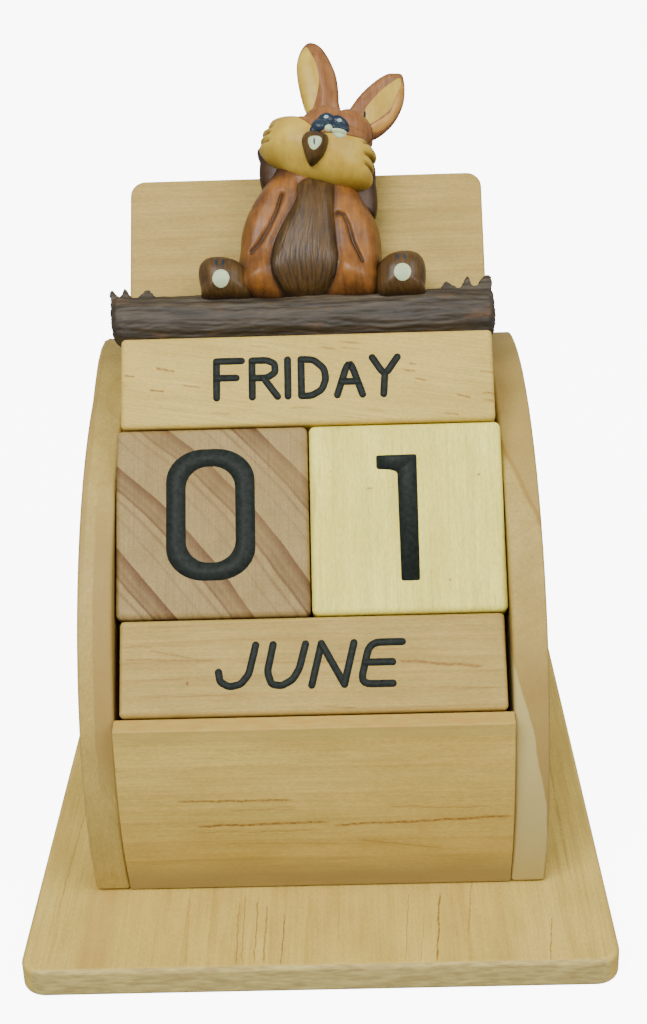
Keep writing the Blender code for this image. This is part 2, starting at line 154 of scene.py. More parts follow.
class Finish:
    """A material with short ways to add nodes to it."""

    def __init__(self, name, roughness):
        self.material = bpy.data.materials.new(name)
        self.material.use_nodes = True
        self.tree = self.material.node_tree
        self.shader = self.tree.nodes["Principled BSDF"]
        self.shader.inputs["Roughness"].default_value = roughness
        self.place = self.add("ShaderNodeTexCoord").outputs["Object"]

    def add(self, kind, inputs=None, **settings):
        node = self.tree.nodes.new(kind)
        for name, value in settings.items():
            setattr(node, name, value)
        for name, value in (inputs or {}).items():
            if isinstance(value, bpy.types.NodeSocket):
                self.tree.links.new(value, node.inputs[name])
            else:
                node.inputs[name].default_value = value
        return node

    def maths(self, operation, first, second=0.0, clamp=False):
        inputs = {0: first, 1: second}
        return self.add("ShaderNodeMath", inputs, operation=operation, use_clamp=clamp).outputs[0]

    def plus(self, first, second):
        return self.maths("ADD", first, second)

    def minus(self, first, second):
        return self.maths("SUBTRACT", first, second)

    def times(self, first, second):
        return self.maths("MULTIPLY", first, second)

    def gap(self, first, second):
        return self.maths("ABSOLUTE", self.minus(first, second))

    def wobble(self, scale, detail, size):
        """Noise about zero, this many millimetres from end to end."""
        return self.times(self.minus(self.noise(self.place, scale, detail), 0.5), size * MM)

    def moved(self, vector, scale=(1, 1, 1), turn=(0, 0, 0), shift=(0, 0, 0)):
        turn = tuple(math.radians(angle) for angle in turn)
        inputs = {"Vector": vector, "Scale": scale, "Rotation": turn, "Location": shift}
        return self.add("ShaderNodeMapping", inputs).outputs[0]

    def noise(self, vector, scale, detail=3.0, roughness=0.5, colour=False):
        inputs = {"Vector": vector, "Scale": scale, "Detail": detail, "Roughness": roughness}
        return self.add("ShaderNodeTexNoise", inputs).outputs[1 if colour else 0]

    def ramp(self, value, stops):
        """Grey levels, or colours, at these places from 0 to 1."""
        node = self.add("ShaderNodeValToRGB", {"Fac": value})
        elements = node.color_ramp.elements
        while len(elements) < len(stops):
            elements.new(0.5)
        for element, (place, level) in zip(elements, stops):
            element.position = place
            colour = level if isinstance(level, tuple) else (level, level, level)
            element.color = (*colour, 1)
        return node.outputs[0]

    def mix(self, factor, first, second, blend="MIX"):
        node = self.add("ShaderNodeMix", data_type="RGBA", blend_type=blend)
        for index, value in ((0, factor), (6, first), (7, second)):
            if isinstance(value, bpy.types.NodeSocket):
                self.tree.links.new(value, node.inputs[index])
            else:
                node.inputs[index].default_value = (*value, 1) if isinstance(value, tuple) else value
        return node.outputs[2]

    def axes(self):
        return self.add("ShaderNodeSeparateXYZ", {0: self.place}).outputs

    def rise(self, value, low, high):
        """Smoothly from 0 at low to 1 at high, both in millimetres."""
        inputs = {"Value": value, "From Min": low * MM, "From Max": high * MM}
        return self.add("ShaderNodeMapRange", inputs, interpolation_type="SMOOTHSTEP").outputs[0]

    def marks(self, along, across, marks):
        """Thin grain lines: start and end along and across, width, in millimetres, and strength."""
        ragged = self.noise(self.place, 1300, 2, 0.7)
        ragged = self.ramp(ragged, ((0.36, 0.0), (0.6, 1.0)))
        across = self.plus(across, self.wobble(260, 2, 0.9))
        total = 0.0
        for start, start_across, end, end_across, width, level in marks:
            slope = (end_across - start_across) / (end - start)
            line = self.plus(self.times(along, slope), (start_across - slope * start) * MM)
            away = self.gap(across, line)
            near = self.rise(away, width, width * 0.2)
            middle, half = (start + end) / 2, abs(end - start) / 2
            beside = self.gap(along, middle * MM)
            span = self.rise(beside, half, half * 0.8)
            total = self.maths("MAXIMUM", total, self.times(self.times(near, span), level))
        return self.times(total, self.plus(self.times(ragged, 0.55), 0.45))

    def done(self, colour, height, depth, strength=0.4):
        self.tree.links.new(colour, self.shader.inputs["Base Color"])
        inputs = {"Height": height, "Distance": depth, "Strength": strength}
        bump = self.add("ShaderNodeBump", inputs)
        self.tree.links.new(bump.outputs[0], self.shader.inputs["Normal"])
        return self.material


GRAIN_TURNS = {"X": (0, -90, 0), "Y": (90, 0, 0), "Z": (0, 0, 0)}
# Growth rings from one winter line to the next: pale early wood darkens to a thin late line
SOFT_RINGS = ((0, 0.0), (0.45, 0.1), (0.8, 0.45), (0.95, 1.0), (1, 0.7))
BROAD_RINGS = (
    (0, 0.0), (0.3, 0.05), (0.34, 0.3), (0.37, 0.05), (0.52, 0.1), (0.56, 0.55), (0.6, 0.1),
    (0.66, 0.1), (0.69, 0.95), (0.73, 0.5), (0.8, 0.7), (0.84, 0.5), (0.92, 0.8), (0.985, 1.0),
    (1, 0.6),
)


def wood(
    name,
    pale,
    deep,
    grain,
    pith,
    ring=4.0,
    strength=0.3,
    waver=1.0,
    rings=SOFT_RINGS,
    fleck=0.35,
    turn=(0, 0, 0),
    saw=0.0,
    even=0.25,
    extra=None,
):
    """Bare sanded pine. pith and ring are in millimetres, across the grain."""
    finish = Finish(name, 0.56)
    turned = finish.moved(finish.place, turn=turn)
    turned = finish.moved(turned, turn=GRAIN_TURNS[grain])
    shift = (-pith[0] * MM, -pith[1] * MM, pith[0] * 7 * MM)
    along = finish.moved(turned, shift=shift)
    slow = finish.moved(along, scale=(1, 1, 0.12))
    bend = finish.noise(slow, 45, 2, 0.4, colour=True)
    bend = finish.add("ShaderNodeVectorMath", {0: bend, 1: (0.5, 0.5, 0.5)}, operation="SUBTRACT")
    inputs = {0: bend.outputs[0], "Scale": 0.006 * waver}
    bend = finish.add("ShaderNodeVectorMath", inputs, operation="SCALE")
    bent = finish.add("ShaderNodeVectorMath", {0: slow, 1: bend.outputs[0]}, operation="ADD")
    inputs = {
        "Vector": bent.outputs[0],
        "Scale": math.pi / 10 / (ring * MM),
        "Distortion": 0.35 * waver,
        "Detail": 2,
        "Detail Scale": 1.2,
    }
    wave = finish.add(
        "ShaderNodeTexWave", inputs, wave_type="RINGS", rings_direction="Z", wave_profile="SAW"
    )
    level = finish.ramp(wave.outputs[1], rings)
    patch = finish.noise(finish.moved(along, scale=(1, 1, 0.3)), 60, 2)
    patch = finish.ramp(patch, ((0.3, even), (0.7, 1.0)))
    level = finish.times(finish.times(level, patch), strength)
    colour = finish.mix(level, pale, deep)
    fibre = finish.noise(finish.moved(along, scale=(1, 1, 0.03)), 1700, 4, 0.65)
    tone = finish.ramp(fibre, ((0.25, 0.8), (0.75, 1.12)))
    colour = finish.mix(1.0, colour, tone, "MULTIPLY")
    cloud = finish.noise(finish.moved(along, scale=(1, 1, 0.4), shift=(0.3, 0.1, 0)), 38, 3)
    warm = tuple(level * share for level, share in zip(pale, (0.93, 0.84, 0.72)))
    cloud = finish.ramp(cloud, ((0.42, 0.0), (0.72, 0.6)))
    colour = finish.mix(cloud, colour, warm)
    blotch = finish.noise(finish.moved(along, scale=(1, 1, 0.35), shift=(0.1, 0.2, 0)), 150, 4, 0.6)
    blotch = finish.ramp(blotch, ((0.3, (0.88, 0.86, 0.8)), (0.7, (1.07, 1.07, 1.1))))
    colour = finish.mix(1.0, colour, blotch, "MULTIPLY")
    grit = finish.noise(finish.moved(along, scale=(1, 1, 0.3)), 3200, 2, 0.7)
    grit = finish.ramp(grit, ((0.3, 0.86), (0.7, 1.1)))
    colour = finish.mix(1.0, colour, grit, "MULTIPLY")
    streak = finish.noise(finish.moved(along, scale=(1, 1, 0.11), shift=(0.2, 0, 0.1)), 520, 2)
    streak = finish.ramp(streak, ((0.685, 0.0), (0.74, 1.0)))
    brown = tuple(level * share for level, share in zip(deep, (0.75, 0.66, 0.55)))
    colour = finish.mix(finish.times(streak, fleck), colour, brown)
    height = fibre
    if saw:
        marks = finish.noise(finish.moved(finish.place, turn=(0, 0, 33), scale=(1, 0.02, 1)), 2600, 3)
        marks = finish.ramp(marks, ((0.35, 0.0), (0.7, 1.0)))
        colour = finish.mix(finish.times(marks, saw), colour, brown)
        height = finish.plus(fibre, marks)
    if extra:
        colour = extra(finish, colour, brown)
    finish.shader.inputs["Specular IOR Level"].default_value = 0.2
    return finish.done(colour, height, 0.05 * MM, 0.35)


PALE = (0.58, 0.425, 0.10)
OCHRE = (0.43, 0.31, 0.082)
HONEY = (0.31, 0.165, 0.035)
CREAM = (0.84, 0.77, 0.155)
CHEEK = (0.44, 0.33, 0.093)
BLOCK = (0.54, 0.39, 0.095)
TANNED = (0.30, 0.19, 0.052)


BASE_MARKS = (
    (-64.5, -26.6, -42, -27.6, 0.2, 0.5), (-64.5, -16.6, -44, -17.0, 0.2, 0.7),
    (-64.5, -15.5, -41, -15.8, 0.2, 0.7), (-64.5, -13.0, -43, -13.0, 0.22, 0.85),
    (-64, -11.2, -45, -11.1, 0.22, 0.85), (-64.8, -7.7, -48, -7.3, 0.24, 0.9),
    (-64.5, 17.2, -42, 18.7, 0.2, 0.6), (-65, 20.2, -49, 21.6, 0.18, 0.5),
    (-65, 23.4, -42, 25.2, 0.3, 1.0), (-57, 30.2, -38, 32.2, 0.22, 0.7),
    (-65.8, 45.6, -51, 47.8, 0.24, 0.8), (-60, 3.8, -20, 4.2, 0.2, 0.35),
    (-50, -55, 10, -53.4, 0.3, 0.4), (-40, 53, 20, 54, 0.3, 0.4),
)
BLOCK_MARKS = (
    (-29, 32.4, -4, 32.2, 0.45, 0.9), (-25.5, 26.0, 3, 26.5, 0.5, 1.0), (2, 25.4, 41, 27.0, 0.5, 1.0),
    (-18, 29.9, -3, 29.9, 0.3, 0.5), (-26, 24.2, 0, 24.2, 0.3, 0.5), (8, 21.4, 26, 18.4, 0.35, 0.5),
    (-20, 21, 6, 20.4, 0.3, 0.35), (14, 30, 36, 29.4, 0.3, 0.5),
)
MONTH_MARKS = (
    (-39, 12.0, -19, 11.2, 0.42, 0.6), (-33.5, 13.8, -22, 11.3, 0.35, 0.55),
    (-38.6, 14.5, -32, 14.6, 0.3, 0.45), (17, 10.6, 35, 8.8, 0.45, 0.9),
    (-17, 10.8, 17, 10.4, 0.3, 0.55), (1.6, 1.5, 9, 1.1, 0.25, 0.6), (-25.7, 6.8, -25.1, 6.8, 0.5, 1.6),
    (4, 13.2, 24, 12.6, 0.3, 0.35), (-36, 4.4, -8, 4.0, 0.3, 0.3), (12, 5.2, 38, 4.6, 0.3, 0.35),
)
WEEKDAY_MARKS = (
    (-31.9, 73.5, -27.6, 72.7, 0.36, 0.9), (-38.6, 71.9, -36.2, 71.7, 0.34, 0.9),
    (-33.2, 68.8, -29.9, 68.3, 0.38, 1.0), (-26.4, 69.8, -22.3, 69.0, 0.3, 0.7),
    (20.3, 71.9, 22.8, 71.5, 0.34, 0.9), (21.5, 73.2, 23.2, 72.8, 0.3, 0.8),
    (22.6, 70.0, 25, 69.1, 0.32, 0.8), (31.2, 66.0, 34.3, 65.2, 0.36, 0.9),
    (36.6, 66.3, 39.6, 66, 0.32, 0.8), (36.2, 70.8, 39.4, 70.6, 0.3, 0.7),
    (28.4, 62.2, 31.7, 61.6, 0.32, 0.7), (-20.5, 63.4, -16, 62.9, 0.3, 0.5),
    (-12, 78, -8, 77.4, 0.3, 0.5), (7, 77, 11.5, 76.6, 0.3, 0.5), (-4, 64.2, 1, 63.8, 0.3, 0.5),
)
CREAM_MARKS = (
    (12.0, 46.1, 13.3, 46.4, 0.3, 0.7), (34.9, 48.7, 35.5, 48.5, 0.4, 0.9),
    (28.2, 26.9, 28.8, 26.8, 0.35, 0.7), (4.3, 50.0, 4.8, 50.0, 0.3, 0.7),
    (24.5, 28.4, 25, 28.2, 0.3, 0.5),
)


def base_marks(finish, colour, brown):
    """Lines from front to back, a darker band on the left and end grain on the front edge."""
    across, along = finish.axes()[0], finish.axes()[1]
    colour = finish.mix(finish.marks(along, across, BASE_MARKS), colour, brown)
    band = finish.times(finish.rise(across, -50, -48), finish.rise(across, -41, -44.5))
    colour = finish.mix(finish.times(band, 0.4), colour, (0.42, 0.25, 0.06))
    hatch = finish.noise(finish.moved(finish.place, turn=(0, 28, 0), scale=(0.16, 1, 1)), 1500, 3, 0.6)
    hatch = finish.ramp(hatch, ((0.35, 0.0), (0.65, 1.0)))
    grain = finish.mix(hatch, (0.34, 0.25, 0.085), (0.52, 0.42, 0.14))
    return finish.mix(finish.rise(along, -64.1, -64.5), colour, grain)


def block_marks(ledge, brow):
    """Lines along the block, an orange sawn ledge on top and a darker, browner foot."""

    def marks(finish, colour, brown):
        along, height = finish.axes()[0], finish.axes()[2]
        colour = finish.mix(finish.marks(along, height, BLOCK_MARKS), colour, brown)
        rough = finish.noise(finish.moved(finish.place, scale=(1, 1, 0.2)), 1400, 3)
        fuzzy = finish.plus(height, finish.times(rough, 0.8 * MM))
        # Painted shadow: the facet band under the sawn ledge is darkened.
        facet_shadow = finish.rise(fuzzy, brow / MM + 0.2, brow / MM + 0.6)
        colour = finish.mix(finish.times(facet_shadow, 0.5), colour, (0.40, 0.29, 0.075))
        sawn = finish.rise(fuzzy, ledge / MM - 0.1, ledge / MM + 0.2)
        torn = finish.noise(finish.moved(finish.place, scale=(0.3, 1, 1)), 900, 3)
        sawn = finish.times(sawn, finish.ramp(torn, ((0.35, 0.2), (0.65, 0.8))))
        colour = finish.mix(sawn, colour, (0.42, 0.245, 0.05))
        foot = finish.rise(fuzzy, 19, 9)
        return finish.mix(finish.times(foot, 0.7), colour, (0.25, 0.185, 0.078))

    return marks


def left_cheek_marks(finish, colour, across, height, middle_out):
    corner = 106.8 + 1.08 * (40.8 - middle_out)
    # Painted light: the left cheek's top, where it turns to face up, is lighter above a slanting line.
    top = finish.rise(finish.plus(finish.times(across, -1.08), height), corner, corner + 0.7)
    edge = finish.times(finish.rise(across, 46.0 - middle_out, 46.5 - middle_out), 0.55)
    edge = finish.times(edge, finish.times(finish.rise(height, 66, 80), finish.rise(height, 106, 97)))
    inner = finish.rise(across, 44.5 - middle_out, 44.1 - middle_out)
    inner = finish.times(inner, finish.times(finish.rise(height, 30, 42), finish.rise(height, 92, 78)))
    colour = finish.mix(finish.times(inner, 0.7), colour, TANNED)
    colour = finish.mix(edge, colour, TANNED)
    return finish.mix(finish.times(top, 0.9), colour, (0.5292, 0.4144, 0.12075))


def right_cheek_marks(finish, colour, across, height, middle_out, brown):
    level = finish.plus(finish.times(across, 1.62), height)
    start = 91.8 + 1.62 * (40.4 - middle_out)
    upper = finish.rise(level, start - 0.3, start + 0.5)
    line = finish.minus(1.0, finish.rise(finish.gap(level, start * MM), 0.2, 1.3))
    colour = finish.mix(finish.times(upper, 0.5), colour, TANNED)
    colour = finish.mix(finish.times(line, 0.5), colour, brown)
    drop = finish.minus(height, 14 * MM)
    bow = finish.times(finish.times(drop, drop), 3.7)
    gap = finish.minus((47.6 - middle_out) * MM, finish.plus(across, bow))
    lens = finish.times(finish.rise(gap, -0.15, 0.25), finish.rise(height, 59, 56))
    beside = finish.times(finish.rise(gap, 0.2, -0.1), finish.rise(height, 72, 50))
    colour = finish.mix(finish.times(beside, 0.75), colour, TANNED)
    return finish.mix(finish.times(lens, 0.8), colour, (0.47, 0.385, 0.15))


def cheek_marks(side, middle):
    """Growth bands that cross the curved edge of a cheek, and painted light on the left cheek's top, at
    places measured in millimetres.
    """

    def marks(finish, colour, brown):
        across, height = finish.axes()[0], finish.axes()[2]
        across = finish.plus(finish.times(across, side), finish.wobble(90, 3, 1.6))
        if side < 0:
            return left_cheek_marks(finish, colour, across, height, abs(middle) / MM)
        return right_cheek_marks(finish, colour, across, height, abs(middle) / MM, brown)

    return marks


def bar_marks(marks):
    def paint_marks(finish, colour, brown):
        across, height = finish.axes()[0], finish.axes()[1]
        return finish.mix(finish.marks(across, height, marks), colour, brown)

    return paint_marks


def paint():
    """Dull black stamping ink with a little wood showing through."""
    finish = Finish("black_ink", 0.55)
    grain = finish.noise(finish.place, 900, 4, 0.6)
    colour = finish.ramp(grain, ((0.3, (0.009, 0.012, 0.010)), (0.8, (0.024, 0.030, 0.025))))
    finish.shader.inputs["Specular IOR Level"].default_value = 0.12
    return finish.done(colour, grain, 0.03 * MM)


# Pieces


def new_object(name, mesh, matrix, body, material):
    item = bpy.data.objects.new(name, mesh)
    bpy.context.scene.collection.objects.link(item)
    item.matrix_world = matrix
    mesh.materials.append(material)
    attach(item, body)
    return item


def mesh_of(name, shape):
    mesh = bpy.data.meshes.new(name)
    bmesh.ops.recalc_face_normals(shape, faces=shape.faces)
    shape.to_mesh(mesh)
    shape.free()
    mesh.shade_smooth()
    return mesh


def round_edges(item, width, angle=35):
    bevel = item.modifiers.new("edges", "BEVEL")
    bevel.width = width
    bevel.segments = EDGE_STEPS
    bevel.limit_method = "ANGLE"
    bevel.angle_limit = math.radians(angle)
    normals = item.modifiers.new("normals", "WEIGHTED_NORMAL")
    normals.weight = 100
    normals.keep_sharp = False
    return item


def block(name, low, high, matrix, body, material, edge, replaces):
    """A rounded block between two corners of its frame."""
    shape = bmesh.new()
    bmesh.ops.create_cube(shape, size=1)
    bmesh.ops.scale(shape, vec=high - low, verts=shape.verts)
    bmesh.ops.translate(shape, vec=(low + high) / 2, verts=shape.verts)
    item = new_object(name, mesh_of(name, shape), matrix, body, material)
    round_edges(item, edge)
    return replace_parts(item, *replaces)


def extruded(name, points, half_width, axis):
    """A closed outline, pushed both ways along an axis, 0 for X and 2 for Z."""
    shape = bmesh.new()
    sides = []
    for side in (-half_width, half_width):
        corners = [(side, *point) if axis == 0 else (*point, side) for point in points]
        sides.append([shape.verts.new(corner) for corner in corners])
    shape.faces.new(sides[0])
    shape.faces.new(reversed(sides[1]))
    count = len(points)
    for index in range(count):
        after = (index + 1) % count
        shape.faces.new((sides[0][index], sides[0][after], sides[1][after], sides[1][index]))
    return mesh_of(name, shape)


def corner_arc(centre, radius, start, steps=10):
    angles = [start + math.pi / 2 * step / steps for step in range(steps + 1)]
    return [
        (centre[0] + radius * math.cos(angle), centre[1] + radius * math.sin(angle))
        for angle in angles
    ]


def base_board():
    low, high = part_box("base_board")
    middle = (low + high) / 2
    across, along = high.x - BASE_CORNER, high.y - BASE_CORNER
    corners = ((across, along), (-across, along), (-across, -along), (across, -along))
    points = []
    for index, corner in enumerate(corners):
        points += corner_arc(corner, BASE_CORNER, index * math.pi / 2)
    mesh = extruded("base", points, middle.z, 2)
    matrix = Matrix.Translation((0, 0, middle.z))
    material = wood("pine_base", PALE, HONEY, "Y", (14, -47), 3.6, 0.3, fleck=0.1, extra=base_marks)
    item = new_object("base", mesh, matrix, "stand", material)
    round_edges(item, BASE_EDGE)
    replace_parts(item, "base_board")


def arc_point(angle):
    return (
        ARC_CENTRE[0] - ARC_HALF_SIZE[0] * math.cos(angle),
        ARC_CENTRE[1] + ARC_HALF_SIZE[1] * math.sin(angle),
    )


def cheek(side, name, pith):
    low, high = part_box("cheek_" + name)
    start = math.asin((low.z - ARC_CENTRE[1]) / ARC_HALF_SIZE[1])
    finish = math.acos((ARC_CENTRE[0] - high.y) / ARC_HALF_SIZE[0])
    angles = [start + (finish - start) * step / ARC_FLATS for step in range(ARC_FLATS + 1)]
    points = [arc_point(angle) for angle in angles] + [(high.y, low.z)]
    half = (high.x - low.x) / 2
    mesh = extruded("cheek", points, half, 0)
    for vert in mesh.vertices:
        if side < 0 and vert.co.x < 0:
            share = min(1, max(0, (vert.co.z - CORNER_FROM) / CORNER_OVER))
            vert.co.z += CORNER_LEFT_ON * share
    matrix = Matrix.Translation(((low.x + high.x) / 2, 0, 0))
    marks = cheek_marks(side, (low.x + high.x) / 2)
    grain = {"fleck": 0.12, "turn": (-8, 0, 0), "extra": marks}
    material = wood("pine_cheek_" + name, CHEEK, HONEY, "Z", pith, 7.5, 0.3, **grain)
    item = new_object("side_" + name, mesh, matrix, "stand", material)
    round_edges(item, CHEEK_EDGE)
    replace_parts(item, "cheek_" + name)


def front_block():
    """The block under the pocket, its front sawn to a ledge and sanded round."""
    low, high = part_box("front_block")
    foot = Vector(arc_point(math.asin((low.z - ARC_CENTRE[1]) / ARC_HALF_SIZE[1])))
    floor = LEANING @ Vector((0, -FIT, 0))
    floor_front = Vector((floor.y, floor.z))
    ledge = floor_front + Vector((-LEDGE_DEPTH, -LEDGE_DROP))
    brow = ledge + Vector((0, -FACET_HEIGHT))
    chord = foot - brow
    outward = Vector((chord.y, -chord.x)).normalized()
    points = [floor_front, ledge]
    for step in range(BLOCK_STEPS + 1):
        share = step / BLOCK_STEPS
        bulge = BLOCK_BULGE * math.sin(math.pi * share)
        points.append(brow + chord * share + outward * bulge)
    slope = (high.y - floor_front.x) * UP_SLOPE.y / UP_SLOPE.z
    points += [Vector((high.y, low.z)), Vector((high.y, floor_front.y - slope))]
    mesh = extruded("block", [tuple(point) for point in points], high.x + BLOCK_WIDER, 0)
    marks = block_marks(ledge.y, brow.y)
    material = wood("pine_block", BLOCK, HONEY, "X", (60, 12), 5.2, 0.4, fleck=0.15, extra=marks)
    item = new_object("foot_block", mesh, Matrix.Identity(4), "stand", material)
    round_edges(item, BLOCK_EDGE, 25)
    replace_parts(item, "front_block")


def upper_board():
    low, high = lean_box("upper_board", START)
    right, top = high.x - BOARD_CORNER, high.y - BOARD_CORNER
    points = corner_arc((right, top), BOARD_CORNER, 0)
    points += corner_arc((-right, top), BOARD_CORNER, math.pi / 2)
    points += [(low.x, low.y), (high.x, low.y)]
    half = (high.z - low.z) / 2
    mesh = extruded("board", points, half, 2)
    matrix = LEANING @ Matrix.Translation((0, 0, low.z + half))
    material = wood("pine_board", OCHRE, HONEY, "X", (60, -26), 4.6, 0.4, fleck=0.1)
    item = new_object("tall_board", mesh, matrix, "stand", material)
    round_edges(item, BOARD_EDGE)
    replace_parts(item, "upper_board")


def leaning_block(node, body, material, edge):
    low, high = lean_box(node, START)
    block(node + "_wood", low, high, LEANING, body, material, edge, (node,))


def level_block(node, body, material, edge):
    low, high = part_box(node)
    block(node + "_wood", low, high, Matrix.Identity(4), body, material, edge, (node,))


def timber():
    """Every sawn piece, in bare pine."""
    base_board()
    cheek(-1, "left", (14, 30))
    cheek(1, "right", (-16, 26))
    front_block()
    upper_board()
    grain = {"fleck": 0.6, "turn": (0, 0, 9), "extra": bar_marks(WEEKDAY_MARKS)}
    bar_wood = wood("pine_weekday", PALE, HONEY, "X", (-30, 60), 5.5, 0.22, **grain)
    grain = {"waver": 1.6, "fleck": 0.2, "extra": bar_marks(MONTH_MARKS)}
    month_wood = wood("pine_month", OCHRE, HONEY, "X", (-14, -24), 3.2, 0.6, **grain)
    plain_wood = wood("pine_plain", PALE, HONEY, "X", (40, 26), 4.4, 0.3, fleck=0.2)
    banded = wood(
        "pine_banded", (0.345, 0.25, 0.094), (0.10, 0.04, 0.014), "Z", (-160.4, -81.9), 12.9, 1.0, 0.5,
        rings=BROAD_RINGS, fleck=0.12, saw=0.2, even=0.8,
    )
    grain = {"waver": 0.8, "fleck": 0.25, "extra": bar_marks(CREAM_MARKS)}
    creamy = wood("pine_cream", CREAM, HONEY, "Y", (60, 18), 6.5, 0.18, **grain)
    leaning_block("weekday_bar", "weekday", bar_wood, BAR_EDGE)
    leaning_block("month_bar", "month", month_wood, BAR_EDGE)
    leaning_block("month_bar_spare", "month_spare", plain_wood, BAR_EDGE)
    leaning_block("date_cube_tens", "tens", banded, CUBE_EDGE)
    leaning_block("date_cube_units", "units", creamy, CUBE_EDGE)
    leaning_block("pocket_back", "stand", plain_wood, BOARD_EDGE)
    leaning_block("cross_rail", "stand", plain_wood, BOARD_EDGE)
    level_block("month_bar_third", "month_third", month_wood, BAR_EDGE)
    level_block("weekday_bar_spare", "weekday_spare", bar_wood, BAR_EDGE)


# Carving

# Carved pieces are measured in millimetres in the rabbit's frame: across, above the log, out from the board
BODY_OUTLINE = (
    (-4, 35), (-7, 30), (-9.2, 26.4), (-11.6, 22.6), (-13.4, 18.8), (-14.3, 15.2), (-14.6, 11.4),
    (-15.2, 8), (-16.4, 4), (-16.4, -0.2), (-10, -1), (0, -1.4), (10, -1.2), (16.4, -0.8), (17.2, 3),
    (16.8, 8.4), (16.8, 13), (16.2, 16.6), (15, 19.4), (13, 22.8), (11, 27), (8, 33), (2, 36),
)
BELLY_OUTLINE = (
    (-1.2, 25.2), (-1.6, 22), (-2.8, 19.4), (-4.9, 15.6), (-6.7, 11.6), (-7.6, 7.6), (-7.5, 4.6),
    (-6.6, 2.2), (-4.9, 0.3), (-2.4, -0.6), (2.1, -0.6), (4.7, 0.6), (6.5, 3.2), (7.3, 7.2), (7, 10.5),
    (6.7, 14.6), (6.5, 19), (6.5, 25), (2.6, 26.6),
)
DARK_PIECE_OUTLINE = (
    (-9.2, 37), (-10, 33), (-10, 28.4), (-8.6, 26.4), (-6, 27), (-3, 25), (3, 23.5), (9, 22),
    (12.4, 20.6), (15.4, 19.4), (16.2, 22), (16, 27), (15, 33), (6, 38),
)
MUZZLE_OUTLINE = (
    (-7.8, 39.7), (-7.0, 40.9), (-5, 41.5), (-2.3, 41.5), (0.8, 40.8), (5, 39.4), (9.6, 37.8),
    (13.4, 36.6), (14.5, 36), (14.3, 34.7), (15.2, 33.9), (16.2, 32.4), (15.9, 31.4), (14.9, 31),
    (15.5, 29.9), (15.5, 28.9), (14.8, 28.3), (15.3, 27.1), (14.7, 25.6), (12.8, 24.6), (9.5, 24.4),
    (6.2, 24.6), (2.5, 25.2), (-0.6, 26.2), (-3, 27.6), (-5.2, 29.6), (-7.9, 31.8), (-9.3, 33.5),
    (-9.9, 34.8), (-9.0, 35.5), (-9.6, 36.4), (-8.7, 37.2), (-9.1, 38.3), (-8.0, 39),
)
BROW_OUTLINE = (
    (-0.8, 39.4), (-0.4, 41.2), (1, 42.7), (3, 43.6), (5.5, 43.8), (8, 42.9), (9.6, 42.2), (11.6, 42.6),
    (13.8, 41.4), (15.4, 38.6), (15.2, 35.6), (12.4, 34.3), (9.7, 34.2), (6.1, 34.4), (3.6, 34.6),
    (1.8, 36.5), (0.6, 37.9),
)
LEFT_EAR_OUTLINE = (
    (2.1, 61.3), (3.9, 60.5), (5.5, 58.4), (6.8, 55.6), (7.7, 52.8), (8.1, 49.6), (8.2, 46.2),
    (8.6, 42.5), (6, 38.5), (2.6, 38.5), (1.4, 42), (0.7, 44.6), (-0.1, 47), (-0.8, 50), (-1.2, 53.2),
    (-1.2, 56.2), (-0.4, 59), (0.8, 60.8),
)
LEFT_PANEL_OUTLINE = (
    (0.9, 60.2), (2.0, 58.2), (3.3, 54.8), (3.9, 51.2), (3.5, 48), (2.6, 45), (1.3, 42.8), (0.3, 45),
    (-0.5, 48.2), (-1.0, 51.9), (-1.2, 55.0), (-0.7, 57.8),
)
RIGHT_EAR_OUTLINE = (
    (8.6, 40.5), (9.9, 43.4), (11.2, 45.4), (13, 47.8), (15.2, 50.1), (17.6, 51.9), (20, 52.9),
    (22.1, 53), (22.8, 52.2), (23.1, 49.2), (22.6, 45.4), (20.8, 41.6), (18.4, 38.9), (15.8, 37.2),
    (12.6, 36.4), (9.6, 37),
)
RIGHT_PANEL_OUTLINE = (
    (22.3, 51.6), (20.1, 50.2), (17.7, 48.2), (15.4, 45.7), (14.0, 43.8), (13.5, 41.3), (14.1, 39.9),
    (16.3, 40.8), (19.1, 43.0), (21.2, 45.3), (22.3, 48.1),
)
NOSE_OUTLINE = (
    (-0.2, 33.0), (0.5, 34.4), (1.7, 34.9), (3.3, 34.7), (4.9, 34.3), (5.7, 33.5), (5.7, 32.2),
    (5.2, 30.5), (4.2, 29), (2.9, 27.9), (1.8, 27.3), (1.1, 28), (0.5, 29.6), (0.1, 31.2),
)
GLINT_OUTLINE = (
    (1.1, 31.9), (1.6, 32.5), (3.3, 32.7), (4.4, 32.1), (4.3, 31), (3.7, 30), (2.6, 29.2), (1.8, 29.6),
    (1.3, 30.6),
)
LEFT_LID_OUTLINE = (
    (1.6, 35.2), (2.2, 36.7), (3.0, 38.2), (4.0, 39.4), (5.4, 39.9), (6.7, 39.3), (7.1, 38.1),
    (6.8, 36.9), (6.1, 36.3), (5.2, 36.1), (4.8, 35.2), (3.8, 34.5), (2.4, 34.4),
)
RIGHT_LID_OUTLINE = (
    (6.2, 36.6), (6.5, 38.8), (7.9, 39.2), (9.3, 38.4), (10.2, 37.1), (10.3, 35.1), (9.6, 34.8),
    (7.7, 35.2), (6.6, 35.6),
)
LEFT_EYE_OUTLINE = (
    (4.9, 35.7), (5.4, 36.3), (6.1, 36.5), (6.7, 35.9), (6.5, 35.0), (5.7, 34.5), (5.0, 34.8),
)
RIGHT_EYE_OUTLINE = (
    (6.5, 35.3), (7.8, 35.4), (9.4, 35.1), (9.7, 34.4), (9.2, 33.6), (8.1, 33.2), (7.1, 33.7),
    (6.5, 34.5),
)
